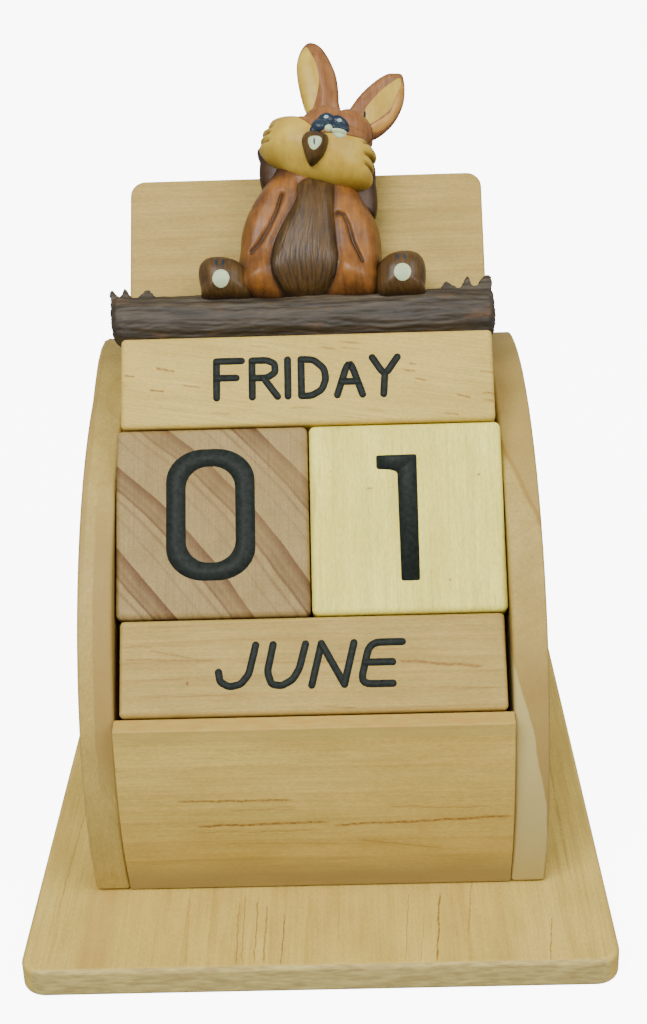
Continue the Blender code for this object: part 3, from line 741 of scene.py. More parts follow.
LEFT_FOOT_OUTLINE = (
    (-23.6, 5.8), (-23.1, 7.8), (-21.6, 9), (-19.2, 9.3), (-16.6, 8.9), (-14.2, 7.7), (-12.8, 5.6),
    (-12.4, 3), (-12.4, -0.4), (-17.5, -0.7), (-22.4, -0.4), (-23.1, 2.4),
)
RIGHT_FOOT_OUTLINE = (
    (15.6, 5.8), (17, 7.9), (19.4, 9.2), (22.4, 9.5), (24.6, 8.9), (25.9, 7.3), (26.3, 4.8),
    (26.0, 1.6), (25.6, -0.9), (20, -1.1), (15.8, -0.9), (15.2, 2.6),
)
LEFT_ARM_LINE = ((-4.9, 22.6), (-6.0, 18.9), (-7.6, 15.2), (-9.8, 11.6), (-11.8, 9.4))
RIGHT_ARM_LINE = ((7.3, 17.8), (8.6, 17.3), (9.5, 15), (10.4, 11.2), (12.4, 6.4))
RIGHT_RIM_OUTLINE = (
    (22.7, 50.6), (22.9, 48.3), (22.3, 45), (20.5, 41.7), (18, 39.1), (15.2, 38), (13.6, 37.8),
    (14.4, 39.3), (16.4, 40.4), (19.2, 42.6), (21.4, 45.1), (22.3, 48),
)
LEFT_ARM_RIDGE = ((-7.6, 25), (-10.4, 19.5), (-12.4, 14), (-13, 10.5))
RIGHT_ARM_RIDGE = ((11, 22.5), (13, 17.6), (14.2, 12.5), (14.6, 9))


def closed_curve(points, count):
    """A smooth closed curve through these points, at this many even steps."""
    knots = np.array(points, float)
    before, after, beyond = np.roll(knots, 1, 0), np.roll(knots, -1, 0), np.roll(knots, -2, 0)
    spans = []
    for share in np.linspace(0, 1, 12, endpoint=False):
        spans.append(
            0.5
            * (
                2 * knots
                + (after - before) * share
                + (2 * before - 5 * knots + 4 * after - beyond) * share**2
                + (3 * knots - before - 3 * after + beyond) * share**3
            )
        )
    dense = np.stack(spans, 1).reshape(-1, 2)
    dense = np.vstack([dense, dense[:1]])
    lengths = np.concatenate([[0], np.cumsum(np.linalg.norm(np.diff(dense, axis=0), axis=1))])
    places = np.linspace(0, lengths[-1], count, endpoint=False)
    return np.stack([np.interp(places, lengths, dense[:, axis]) for axis in (0, 1)], 1)


def softened(curve, passes):
    for _ in range(passes):
        curve = (np.roll(curve, 1, 0) + curve * 2 + np.roll(curve, -1, 0)) / 4
    return curve


def line_distance(points, line):
    """Each point's distance to a broken line."""
    line = np.array(line, float)
    best = np.full(len(points), 1e9)
    for start, end in zip(line[:-1], line[1:]):
        way = end - start
        share = np.clip(((points - start) @ way) / (way @ way), 0, 1)
        best = np.minimum(best, np.linalg.norm(points - start - share[:, None] * way, axis=1))
    return best


def ring_mesh(name, rings_front, rings_back, shade):
    """A closed mesh from rings of points that run from the rim to one middle point."""
    count = len(rings_front[0])
    verts = []
    faces = []
    for rings in (rings_front, rings_back):
        start = len(verts)
        for ring in rings[:-1]:
            verts += [tuple(point) for point in ring]
        verts.append(tuple(np.mean(rings[-1], 0)))
        rows = len(rings) - 1
        for row in range(rows - 1):
            for step in range(count):
                after = (step + 1) % count
                low, high = start + row * count, start + (row + 1) * count
                faces.append((low + step, low + after, high + after, high + step))
        tip = start + rows * count
        last = start + (rows - 1) * count
        faces += [(last + step, last + (step + 1) % count, tip) for step in range(count)]
    mesh = bpy.data.meshes.new(name)
    mesh.from_pydata([tuple(value * MM for value in vert) for vert in verts], [], faces)
    shape = bmesh.new()
    shape.from_mesh(mesh)
    layer = shape.verts.layers.float.new("shade")
    for vert, level in zip(shape.verts, shade):
        vert[layer] = float(level)
    bmesh.ops.remove_doubles(shape, verts=shape.verts, dist=0.02 * MM)
    bmesh.ops.recalc_face_normals(shape, faces=shape.faces)
    shape.to_mesh(mesh)
    shape.free()
    mesh.shade_smooth()
    return mesh


def dome(
    name,
    outline,
    centre,
    middle,
    front,
    back,
    relief=None,
    power=2.0,
    around=150,
    rows=34,
    soften=0,
    rim_shade=0.0,
):
    """A carved pillow: full at its outline, at depth middle, swelling out to the front and back."""
    rim = closed_curve(outline, around)
    core = softened(rim, soften)
    centre = np.array(centre, float)
    rings = {1: [], -1: []}
    shades = []
    for side, swell in ((1, front), (-1, back)):
        for turn in np.linspace(math.pi / 2, 0, rows + 1):
            share = math.sin(turn) ** (2 / power)
            lift = math.cos(turn) ** (2 / power)
            fade = min(1, max(0, (share - 0.82) / 0.18))
            flat = centre + (core + (rim - core) * fade - centre) * share
            depth = np.full(around, middle + side * swell * lift)
            shade = np.zeros(around)
            if relief and side == 1:
                change, shade = relief(flat)
                depth = depth + change * min(1, lift * 3)
            # Painted shade: rim_shade darkens each piece towards its outline, where it meets the pieces
            # around it.
            shade = shade + rim_shade * min(1, max(0, (share - 0.8) / 0.2)) ** 1.5
            depth = np.maximum(depth, 0.3)
            rings[side].append(np.column_stack([flat, depth]))
            shades += list(shade) if share > 0 else [float(np.mean(shade))]
    return ring_mesh(name, rings[1], rings[-1], shades)


def surface_of(item):
    """How far out from the board an item's front lies at a place, or None beside it."""
    shape = bmesh.new()
    shape.from_mesh(item.data)
    tree = BVHTree.FromBMesh(shape)
    shape.free()

    def depth(across, above):
        start = Vector((across * MM, above * MM, 60 * MM))
        hit = tree.ray_cast(start, Vector((0, 0, -1)))[0]
        return None if hit is None else hit.z / MM

    return depth


def highest(*hosts):
    """The outermost of several surfaces."""

    def depth(across, above):
        levels = [host(across, above) for host in hosts]
        return max((level for level in levels if level is not None), default=None)

    return depth


def patch(
    name, host, outline, centre, thick, relief=None, around=72, rows=12, sink=0.15, edge=2.0, under=0.6
):
    """A thin carved or painted layer that follows its host's surface."""
    rim = closed_curve(outline, around)
    centre = np.array(centre, float)
    front, back, shades = [], [], []
    for turn in np.linspace(math.pi / 2, 0, rows + 1):
        share = math.sin(turn) ** (2 / edge)
        lift = math.cos(turn) ** (2 / edge)
        flat = centre + (rim - centre) * share
        depths = []
        for place in flat:
            level, pull = host(*place), 1.0
            while level is None and pull > 0:
                pull -= 0.04
                level = host(*(centre + (place - centre) * pull))
            depths.append(level if level is not None else 0.3)
        depths = np.array(depths)
        change, shade = relief(flat) if relief else (0, np.zeros(around))
        raised = depths - sink + (thick + sink) * lift + change * min(1, lift * 2)
        front.append(np.column_stack([flat, raised]))
        back.append(np.column_stack([flat, depths - sink - under * lift]))
        shades += list(shade) if share > 0 else [float(np.mean(shade))]
    shades += [0.0] * (around * rows + 1)
    return ring_mesh(name, front, back, shades)


def stain(name, light, deep, painted_shade_colour, streak=0.35, roughness=0.38, scale=1.0):
    """Carved wood, stained and varnished; the shade attribute paints shade into its grooves, its rims and
    where pieces meet.
    """
    finish = Finish(name, roughness)
    shade = finish.add("ShaderNodeAttribute", attribute_name="shade").outputs["Fac"]
    fibre = finish.noise(finish.moved(finish.place, scale=(1, 0.09, 0.5)), 1500 * scale, 4, 0.6)
    cloud = finish.noise(finish.place, 190 * scale, 3, 0.6)
    tone = finish.plus(finish.times(fibre, streak), finish.times(cloud, 1 - streak))
    colour = finish.mix(finish.ramp(tone, ((0.36, 0.0), (0.62, 1.0))), light, deep)
    # Painted shade: the shade attribute mixes in the darker colour.
    colour = finish.mix(finish.maths("MULTIPLY", shade, 1.0, clamp=True), colour, painted_shade_colour)
    finish.shader.inputs["Specular IOR Level"].default_value = 0.22
    finish.shader.inputs["Coat Weight"].default_value = 0.05
    finish.shader.inputs["Coat Roughness"].default_value = 0.3
    return finish.done(colour, fibre, 0.05 * MM, 0.3)


def body_relief(flat):
    """Arms stand proud, with a cut line inside each, and the haunches swell."""
    # Painted shade: the shade darkens the cut lines, a ring round the belly, the feet's edges, the top under
    # the muzzle and the bottom by the log.
    change = np.zeros(len(flat))
    shade = np.zeros(len(flat))
    for ridge in (LEFT_ARM_RIDGE, RIGHT_ARM_RIDGE):
        change += 1.3 * np.exp(-((line_distance(flat, ridge) / 2.4) ** 2))
    for line in (LEFT_ARM_LINE, RIGHT_ARM_LINE):
        gap = line_distance(flat, line)
        change -= 0.9 * np.exp(-((gap / 0.42) ** 2))
        shade += np.exp(-((gap / 0.4) ** 2))
    gap = line_distance(flat, BELLY_OUTLINE)
    change -= 0.6 * np.exp(-((gap / 0.9) ** 2))
    shade += 0.6 * np.exp(-((gap / 0.7) ** 2))
    for foot in (LEFT_FOOT_OUTLINE, RIGHT_FOOT_OUTLINE):
        shade += 0.6 * np.exp(-((line_distance(flat, foot) / 1.1) ** 2))
    shade += 0.7 * np.clip((flat[:, 1] - 26) / 3, 0, 1) + 0.6 * np.clip((1.4 - flat[:, 1]) / 2, 0, 1)
    for across in (-11, 11.5):
        haunch = np.linalg.norm((flat - (across, 3.6)) / (5.2, 4.2), axis=1)
        change += 1.6 * np.exp(-(haunch**2))
    for index, across in enumerate((-9.4, -4.6, 8.2, 12.6)):
        wave = flat[:, 0] - across - 0.5 * np.sin(flat[:, 1] * 0.5 + index)
        line = np.exp(-((wave / 0.22) ** 2)) * np.clip((9 - flat[:, 1]) / 7, 0, 1)
        change -= 0.18 * line
        shade += 0.35 * line
    return change, np.clip(shade, 0, 1)


def belly_relief(flat):
    """Fine cut hair lines that follow the belly's sides and gather at its foot."""
    above = (-0.6, 1, 4, 7, 10, 14, 18, 22, 26)
    half = np.interp(flat[:, 1], above, (2.6, 5.2, 7, 7.4, 7.2, 6.1, 5, 4.1, 3.7))
    middle = np.interp(flat[:, 1], above, (0.4, 0.2, -0.1, -0.2, 0, 0.6, 1.4, 2.3, 2.7))
    share = (flat[:, 0] - middle) / half
    wander = 0.03 * np.sin(flat[:, 1] * 0.33 + share * 5) + 0.012 * np.sin(flat[:, 1] * 0.9 + share * 11)
    line = np.abs(np.sin((share + wander) * 21)) ** 7
    second = np.abs(np.sin((share - wander * 1.4) * 34 + 0.6)) ** 7
    low = np.clip((21 - flat[:, 1]) / 16, 0.12, 1)
    broken = 0.65 + 0.35 * np.sin(flat[:, 1] * 0.8 + share * 19)
    line = np.clip(line * broken + 0.5 * second, 0, 1) * low * 0.75
    rim = np.clip((np.abs(share) - 0.8) / 0.2, 0, 1)
    # Painted shade: the returned shade darkens the cut hair lines and the belly's sides towards its foot.
    return -0.12 * line, np.clip(line * 0.85 + 0.55 * rim * np.clip((20 - flat[:, 1]) / 8, 0, 1), 0, 1)


def muzzle_relief(flat):
    """Tufts of fur are nicked into both cheeks, with painted shade in the nicks."""
    change = np.zeros(len(flat))
    shade = np.zeros(len(flat))
    nicks = (
        ((-9.8, 35.4), (-7.6, 34.8)), ((-9.2, 37.0), (-7.4, 36.8)), ((-8.6, 38.8), (-6.8, 38.2)),
        ((16, 31.2), (13.8, 31)), ((15.4, 34.4), (13.6, 33.6)), ((15.6, 28.4), (13.8, 28.8)),
    )
    for nick in nicks:
        gap = line_distance(flat, nick)
        change -= 0.7 * np.exp(-((gap / 0.35) ** 2))
        shade += 0.8 * np.exp(-((gap / 0.32) ** 2))
    return change, np.clip(shade, 0, 1)


def ear_relief(line, width, depth):
    def relief(flat):
        gap = line_distance(flat, line)
        return depth * np.exp(-((gap / width) ** 2)), np.zeros(len(flat))

    return relief


def stand_piece(name, mesh, material, nodes=()):
    item = new_object(name, mesh, RABBIT, "stand", material)
    if nodes:
        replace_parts(item, *nodes)
    return item


def small_oval(centre, half_width, half_height, last, count):
    """Points round an ellipse, up to the angle last in radians."""
    return [
        (centre[0] + half_width * math.cos(angle), centre[1] + half_height * math.sin(angle))
        for angle in np.linspace(0, last, count)
    ]


def rabbit():
    """The carved rabbit, from the body up to its ears and down again to its feet."""
    fur = stain("orange_stain", (0.27, 0.105, 0.018), (0.12, 0.045, 0.011), (0.024, 0.010, 0.004))
    rust = stain("rust_stain", (0.30, 0.135, 0.042), (0.18, 0.068, 0.022), (0.03, 0.012, 0.006), 0.5)
    tan = stain("tan_stain", (0.56, 0.39, 0.055), (0.40, 0.245, 0.027), (0.09, 0.04, 0.008), 0.25, scale=0.7)
    brown = stain("brown_stain", (0.105, 0.055, 0.014), (0.042, 0.022, 0.007), (0.008, 0.006, 0.004), 0.6)
    dark = stain("dark_stain", (0.075, 0.034, 0.012), (0.036, 0.018, 0.008), (0.01, 0.006, 0.004), 0.5)
    slate = stain("slate_paint", (0.022, 0.04, 0.06), (0.012, 0.022, 0.036), (0.01, 0.01, 0.01), 0.2, 0.3)
    white = stain("white_paint", (0.48, 0.60, 0.34), (0.40, 0.50, 0.29), (0.2, 0.2, 0.15), 0.1, 0.35)
    honey = stain("honey_stain", (0.52, 0.27, 0.06), (0.36, 0.17, 0.035), (0.12, 0.05, 0.012), 0.25)
    ink = paint()
    painted_highlight = stain("painted_highlight_blue", (0.33, 0.46, 0.46), (0.22, 0.33, 0.34), (0.1, 0.1, 0.1), 0.2, 0.3)

    mesh = dome("body", BODY_OUTLINE, (0.8, 12), 6, 9.2, 5.8, body_relief, 2.5, 220, 60, rim_shade=0.45)
    body = stand_piece("body_fur", mesh, fur, ("rabbit_body", "rabbit_dowel"))
    mesh = patch("belly", surface_of(body), BELLY_OUTLINE, (0.2, 10), 1.2, belly_relief, 240, 70, 0.3, 2.4)
    stand_piece("belly_fur", mesh, brown)
    # A dark brown piece behind the muzzle, showing below it on both sides.
    mesh = dome("dark_piece", DARK_PIECE_OUTLINE, (3, 29), 6.5, 4, 5, None, 3, rim_shade=0.5)
    stand_piece("dark_piece_behind_muzzle", mesh, dark)
    mesh = dome("muzzle", MUZZLE_OUTLINE, (3.2, 33.6), 10, 9, 7, muzzle_relief, 2.3, 260, 50, 60, 0.18)
    muzzle = stand_piece("muzzle_fur", mesh, tan, ("rabbit_head",))
    mesh = dome("brow", BROW_OUTLINE, (6.4, 38.8), 9, 7.5, 6, None, 2.4, rim_shade=0.2)
    brow = stand_piece("brow_fur", mesh, rust)
    host = highest(surface_of(muzzle), surface_of(brow))
    mesh = patch("cap", host, BROW_OUTLINE, (6.8, 38.6), 1.0, sink=0.2, around=140, rows=26, edge=2.6)
    cap = stand_piece("brow_cap", mesh, rust)

    relief = ear_relief(((4.4, 41), (4.9, 48), (3.4, 57)), 1.3, 0.9)
    mesh = dome("ear", LEFT_EAR_OUTLINE, (3.6, 50), 8.7, 2, 2, relief, 2.4, rim_shade=0.5)
    ear = stand_piece("left_ear_fur", mesh, rust, ("rabbit_ear_left",))
    host = surface_of(ear)
    mesh = patch("panel", host, LEFT_PANEL_OUTLINE, (1.2, 52), 0.14, sink=0.05, around=120, rows=20)
    stand_piece("left_ear_lining", mesh, tan)
    relief = ear_relief(((9.5, 41), (12.8, 46.4), (19.4, 51.8)), 1.3, 0.9)
    mesh = dome("ear", RIGHT_EAR_OUTLINE, (16, 45.4), 8.7, 2, 2, relief, 2.4, rim_shade=0.5)
    ear = stand_piece("right_ear_fur", mesh, rust, ("rabbit_ear_right",))
    host = surface_of(ear)
    mesh = patch("panel", host, RIGHT_PANEL_OUTLINE, (17.6, 45.4), 0.14, sink=0.05, around=120, rows=20)
    lining = stand_piece("right_ear_lining", mesh, tan)
    mesh = patch("rim", host, RIGHT_RIM_OUTLINE, (19.4, 42.2), 0.5, sink=0.1, around=120, rows=12)
    stand_piece("right_ear_rim", mesh, honey)
    slit = ((13.6, 43.2), (14.1, 43.3), (14.1, 41.9), (13.7, 40.8), (13.3, 40.8), (13.4, 42))
    mesh = patch("slit", surface_of(lining), slit, (13.75, 42), 0.08, sink=0.05, around=40, rows=8)
    stand_piece("right_ear_slit", mesh, ink)

    mesh = dome("nose", NOSE_OUTLINE, (3, 31.4), 18, 3.8, 3, None, 2.2, 90, 18, rim_shade=0.6)
    nose = stand_piece("nose_tip", mesh, brown, ("rabbit_nose",))
    mesh = patch("glint", surface_of(nose), GLINT_OUTLINE, (2.8, 31.1), 0.06, sink=0.05)
    glint = stand_piece("nose_glint", mesh, white)
    slit = ((2.5, 31.9), (2.75, 32), (2.9, 31), (2.75, 30.3), (2.5, 30.4), (2.4, 31.2))
    mesh = patch("slit", surface_of(glint), slit, (2.65, 31.1), 0.04, sink=0.03, around=32, rows=6)
    stand_piece("nose_slit", mesh, slate)
    front = highest(surface_of(cap), surface_of(muzzle))
    for side, lid, lid_centre, spot_place, eye, eye_centre in (
        ("left", LEFT_LID_OUTLINE, (4.9, 37.7), (5.3, 38.5), LEFT_EYE_OUTLINE, (5.8, 35.9)),
        ("right", RIGHT_LID_OUTLINE, (8, 37.2), (8.2, 37.6), RIGHT_EYE_OUTLINE, (8, 34.9)),
    ):
        mesh = patch("lid", front, lid, lid_centre, 1.0, sink=0.1)
        item = stand_piece(side + "_eyelid", mesh, slate)
        mesh = patch("eye", front, eye, eye_centre, 0.6, sink=0.1)
        stand_piece(side + "_eye_white", mesh, white)
        # Painted highlight: a pale blue spot on each eyelid.
        spot = small_oval(spot_place, 0.6, 0.5, 5.5, 8)
        mesh = patch("spot", surface_of(item), spot, spot_place, 0.05, sink=0.05, around=32, rows=6)
        stand_piece(side + "_lid_painted_highlight", mesh, painted_highlight)

    for side, outline, centre, dot in (
        ("left", LEFT_FOOT_OUTLINE, (-18.2, 4), (-18.3, 2.9)),
        ("right", RIGHT_FOOT_OUTLINE, (20.8, 4), (21, 3.2)),
    ):
        mesh = dome("foot", outline, centre, 9.5, 6.2, 7, None, 2.6, rim_shade=0.7)
        foot = stand_piece(side + "_foot_fur", mesh, brown, ("rabbit_foot_" + side,))
        sole = surface_of(foot)
        spot = small_oval(dot, 1.95, 2.05, 5.6, 12)
        mesh = patch("dot", sole, spot, dot, 0.12, sink=0.05, around=48, rows=8)
        stand_piece(side + "_foot_dot", mesh, white)
        for index, across in enumerate((-1.0, 0.5)):
            middle = (dot[0] + across, dot[1] + 3.7)
            mark = small_oval(middle, 0.3, 1.1, 5.5, 8)
            mesh = patch("toe", sole, mark, middle, 0.08, sink=0.05, around=32, rows=6)
            stand_piece(f"{side}_foot_toe_{index}", mesh, slate)


def bark():
    """Dark bark with rusty streaks running along the log, and painted light, a pale grey, on the ridges that
    face up.
    """
    finish = Finish("bark", 0.6)
    shade = finish.add("ShaderNodeAttribute", attribute_name="shade").outputs["Fac"]
    along = finish.moved(finish.place, scale=(0.1, 1, 1))
    fibre = finish.noise(along, 900, 5, 0.65)
    cloud = finish.noise(finish.moved(finish.place, scale=(0.35, 1, 1)), 240, 4, 0.6)
    fine = finish.ramp(fibre, ((0.35, 0.0), (0.7, 1.0)))
    colour = finish.mix(fine, (0.014, 0.010, 0.005), (0.046, 0.031, 0.014))
    rust = finish.ramp(cloud, ((0.56, 0.0), (0.68, 0.8)))
    colour = finish.mix(rust, colour, (0.085, 0.038, 0.010))
    # Painted light: the shade layer is high where the bark faces up, and lightens the ridges there.
    painted_top_light = finish.times(shade, finish.ramp(fibre, ((0.42, 0.1), (0.7, 1.0))))
    colour = finish.mix(painted_top_light, colour, (0.115, 0.088, 0.05))
    return finish.done(colour, fibre, 0.08 * MM, 0.4)


LEFT_TWIGS = (
    (-43.0, 88), (-43.1, 91), (-43.3, 93.6), (-43.3, 95.2), (-42.8, 95.4), (-42.2, 94.4), (-41.4, 93.1),
    (-40.8, 92.6), (-40.6, 94.2), (-40.3, 95.8), (-39.9, 95.8), (-39.3, 94.6), (-38.6, 93.2),
    (-38.0, 92.8), (-37.4, 93.0), (-36.3, 94.2), (-35.6, 95.3), (-34.7, 95.3), (-34.0, 94.4),
    (-33.2, 92.8), (-33.0, 88),
)
RIGHT_TWIGS = (
    (28.8, 88), (29.1, 92.2), (29.6, 93.4), (29.9, 94.9), (30.6, 95.5), (31.2, 95.3), (32.2, 94.3),
    (33.5, 93.2), (34.3, 94.8), (35.3, 96.7), (35.8, 96.3), (36.1, 95), (36.6, 93.9), (37.2, 93.8),
    (38.0, 95), (39.0, 96.5), (39.6, 96.8), (40.5, 96.7), (40.8, 95.6), (40.9, 94.4), (40.7, 93.1),
    (40.9, 92.0), (40.9, 88),
)


def log():
    """The log with its broken twigs, joined to one skin and then carved with bark."""
    left, right = LOG_LEFT, LOG_RIGHT
    depth = BOARD_FACE + FIT + LOG_SWELL
    shape = bmesh.new()
    steps, around = 120, 44
    rings = []
    for step in range(steps + 1):
        share = step / steps
        across = left + (right - left) * share
        end = min(across - left, right - across) / MM
        close = math.sqrt(max(0.0, 1 - max(0, 1.5 - end) ** 2 / 2.6))
        lift = 0.9 * MM * max(0, 1 - end / 3.2)
        radius = LOG_SWELL * close * (1 + 0.02 * math.sin(share * 9) + 0.015 * math.sin(share * 23 + 1))
        radius *= 1 - 0.1 * max(0, 1 - end / 3)
        ring = []
        for turn in range(around):
            angle = math.tau * turn / around
            rise = LOG_RISE + LOG_LIFT + lift + radius * math.cos(angle)
            ring.append(shape.verts.new((across, rise, depth + radius * math.sin(angle))))
        rings.append(ring)
    for first, second in zip(rings, rings[1:]):
        for turn in range(around):
            after = (turn + 1) % around
            shape.faces.new((first[turn], first[after], second[after], second[turn]))
    shape.faces.new(rings[0])
    shape.faces.new(reversed(rings[-1]))
    for twigs in (LEFT_TWIGS, RIGHT_TWIGS):
        sides = []
        for place in (-1, 1):
            side = []
            for across, rise in twigs:
                thick = 2.8 * MM if rise < 92.4 else (2.3 - 0.36 * (rise - 92.4)) * MM
                side.append(shape.verts.new((across * MM, rise * MM, depth + 1.2 * MM + place * thick)))
            sides.append(side)
        shape.faces.new(sides[0])
        shape.faces.new(reversed(sides[1]))
        for index in range(len(twigs)):
            after = (index + 1) % len(twigs)
            shape.faces.new((sides[0][index], sides[0][after], sides[1][after], sides[1][index]))
    mesh = mesh_of("log", shape)
    material = bark()
    item = new_object("log_bark", mesh, LEANING, "stand", material)
    remesh = item.modifiers.new("skin", "REMESH")
    remesh.mode = "VOXEL"
    remesh.voxel_size = LOG_VOXEL
    bpy.context.view_layer.update()
    graph = bpy.context.evaluated_depsgraph_get()
    skin = bpy.data.meshes.new_from_object(item.evaluated_get(graph))
    item.modifiers.clear()
    shape = bmesh.new()
    shape.from_mesh(skin)
    everywhere = {"use_axis_x": True, "use_axis_y": True, "use_axis_z": True}
    for _ in range(2):
        bmesh.ops.smooth_vert(shape, verts=shape.verts, factor=0.5, **everywhere)
    shape.normal_update()
    layer = shape.verts.layers.float.new("shade")
    moves = []
    for vert in shape.verts:
        x, y, z = vert.co / MM
        ridge = noise.fractal(Vector((x * 0.07, y * 0.75, z * 0.75)), 0.6, 2.1, 4)
        knot = noise.noise(Vector((x * 0.16 + 7, y * 0.2, z * 0.2)))
        moves.append((0.26 * ridge + 0.24 * knot - 0.1) * MM)
        # Painted light: the shade layer is high where the bark faces up and out.
        vert[layer] = min(1, max(0, (vert.normal.y * 0.8 + vert.normal.z * 0.15) * (0.75 + 1.1 * ridge)))
    for vert, move in zip(shape.verts, moves):
        vert.co += vert.normal * move
        vert.co.z = max(vert.co.z, BOARD_FACE + FIT)
        beyond = max(0, abs(vert.co.x) / MM - LOG_CLEAR)
        underside = min(LOG_END_STEP, beyond * 2.4) + beyond * LOG_END_SLOPE
        vert.co.y = max(vert.co.y, BAR_TOP + FIT + underside * MM)
    item.data = mesh_of("log", shape)
    item.data.materials.clear()
    item.data.materials.append(material)
    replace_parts(item, "log", "log_dowel_left", "log_dowel_right")


# Painted words and numbers


def ribbon(shape, points, widths, height):
    """A flat painted stroke: a strip along the points, a little proud of the wood."""
    points = [Vector(point) for point in points]
    rows = []
    for index, point in enumerate(points):
        before = points[max(0, index - 1)]
        after = points[min(len(points) - 1, index + 1)]
        way = (after - before).normalized()
        side = Vector((-way.y, way.x)) * widths[index] / 2
        turn = 1.0
        if 0 < index < len(points) - 1:
            first = (point - before).normalized()
            turn = 1 / max(0.5, abs(Vector((-first.y, first.x)).dot(Vector((-way.y, way.x)))))
        rows.append([
            shape.verts.new((*(point + side * turn), height)),
            shape.verts.new((*(point - side * turn), height)),
            shape.verts.new((*(point - side * turn), height - PAINT_DEPTH)),
            shape.verts.new((*(point + side * turn), height - PAINT_DEPTH)),
        ])
    for first, second in zip(rows, rows[1:]):
        for corner in range(4):
            after = (corner + 1) % 4
            shape.faces.new((first[corner], first[after], second[after], second[corner]))
    shape.faces.new(rows[0])
    shape.faces.new(reversed(rows[-1]))


def arc(centre, radii, start, end, steps=14):
    """Points on part of an ellipse, angles in degrees."""
    return [
        (
            centre[0] + radii[0] * math.cos(math.radians(start + (end - start) * step / steps)),
            centre[1] + radii[1] * math.sin(math.radians(start + (end - start) * step / steps)),
        )
        for step in range(steps + 1)
    ]


def round_ended(points, width):
    """Points and widths of a pen stroke with round ends."""
    points = [Vector(point) for point in points]
    head = (points[0] - points[1]).normalized() * width / 2
    tail = (points[-1] - points[-2]).normalized() * width / 2
    shares = (1.0, 0.95, 0.82, 0.6, 0.32)
    starts = [(points[0] + head * share, width * math.sqrt(1 - share * share)) for share in shares]
    ends = [(points[-1] + tail * share, width * math.sqrt(1 - share * share)) for share in reversed(shares)]
    rows = starts + [(point, width) for point in points] + ends
    return [row[0] for row in rows], [max(row[1], width * 0.04) for row in rows]


STROKES = {
    "F": (((0, 0), (0, 1)), ((0, 1), (1, 1)), ((0, 0.54), (0.78, 0.54))),
    "R": (
        ((0, 0), (0, 1)),
        ((0, 1), (0.6, 1), (0.9, 0.9), (0.92, 0.66), (0.6, 0.52), (0, 0.52)),
        ((0.45, 0.52), (1, 0)),
    ),
    "I": (((0, 0), (0, 1)),),
    "D": (
        ((0, 0), (0, 1)),
        ((0, 1), (0.5, 0.98), (0.9, 0.74), (0.98, 0.46), (0.82, 0.16), (0.4, 0), (0, 0)),
    ),
    "A": (((0, 0), (0.5, 1), (1, 0)), ((0.2, 0.36), (0.8, 0.36))),
    "Y": (((0, 1), (0.48, 0.5), (1, 1)), ((0.48, 0.5), (0.42, 0))),
    "J": (((0.95, 1), (0.95, 0.3), (0.78, 0.06), (0.45, 0), (0.12, 0.12), (0, 0.36)),),
    "U": (((0, 1), (0.02, 0.34), (0.24, 0.04), (0.56, 0), (0.86, 0.14), (0.98, 0.4), (1, 1)),),
    "N": (((0, 0), (0, 1)), ((0, 1), (1, 0)), ((1, 0), (1, 1))),
    "E": (((1, 1), (0, 1), (0, 0), (1, 0)), ((0, 0.52), (0.84, 0.52))),
}


def rounded_stroke(points):
    """The stroke's corners, eased with short curves."""
    points = [Vector(point) for point in points]
    if len(points) < 3:
        return points
    eased = [points[0]]
    for before, here, after in zip(points, points[1:], points[2:]):
        reach = min((here - before).length, (after - here).length) * 0.34
        start = here + (before - here).normalized() * reach
        end = here + (after - here).normalized() * reach
        for step in range(6):
            share = step / 5
            eased.append(start * (1 - share) ** 2 + here * 2 * share * (1 - share) + end * share**2)
    return eased + [points[-1]]


def word(name, letters, left, foot, width, height, pen, gap, slant, matrix, body, material):
    """Hand-drawn capitals on a face of the frame in matrix."""
    shape = bmesh.new()
    place = left
    level = PAINT_PROUD
    for letter in letters:
        wide = width * (0.12 if letter == "I" else 1.0)
        for stroke in STROKES[letter]:
            points = [(place + x * wide + y * height * slant, foot + y * height) for x, y in stroke]
            line, widths = round_ended(rounded_stroke(points), pen)
            ribbon(shape, [point * MM for point in line], [value * MM for value in widths], level)
            level += 0.0012 * MM
        place += wide + gap
    new_object(name, mesh_of(name, shape), matrix, body, material)


def numeral_strokes(digit):
    """Centre lines of the date numbers, in millimetres from the face's middle."""
    if digit == 2:
        top = arc((0, 5), (6.8, 6.8), 165, -40)
        return (top + [(-7, -11.7)], ((-7, -11.7), (7.4, -11.7)))
    if digit == 3:
        return (arc((0, 5.4), (6.4, 6.3), 150, -90), arc((0, -5.6), (7, 6.2), 90, -150))
    if digit == 4:
        return (((3.4, -12.4), (3.4, 12.4), (-7.6, -5.2), (8, -5.2)),)
    if digit == 5:
        return (((6.4, 11.7), (-5.6, 11.7), (-6, 1.4)), arc((-0.4, -4.4), (7, 7.2), 135, -150))
    if digit == 6:
        return (arc((0, -5), (7, 6.8), 0, 360, 24), arc((2.6, -3), (9.6, 15), 180, 100))
    if digit == 7:
        return (((-7, 11.7), (7, 11.7), (-2.4, -12.4)),)
    return (arc((0, 5.8), (5.8, 5.9), 90, 450, 24), arc((0, -5.8), (7, 6.2), 90, 450, 24))


def oval(half_width, half_height, corner):
    """A tall outline with elliptical corners."""
    across, above = half_width - corner[0], half_height - corner[1]
    ring = arc((across, above), corner, 0, 90) + arc((-across, above), corner, 90, 180)
    return ring + arc((-across, -above), corner, 180, 270) + arc((across, -above), corner, 270, 360)


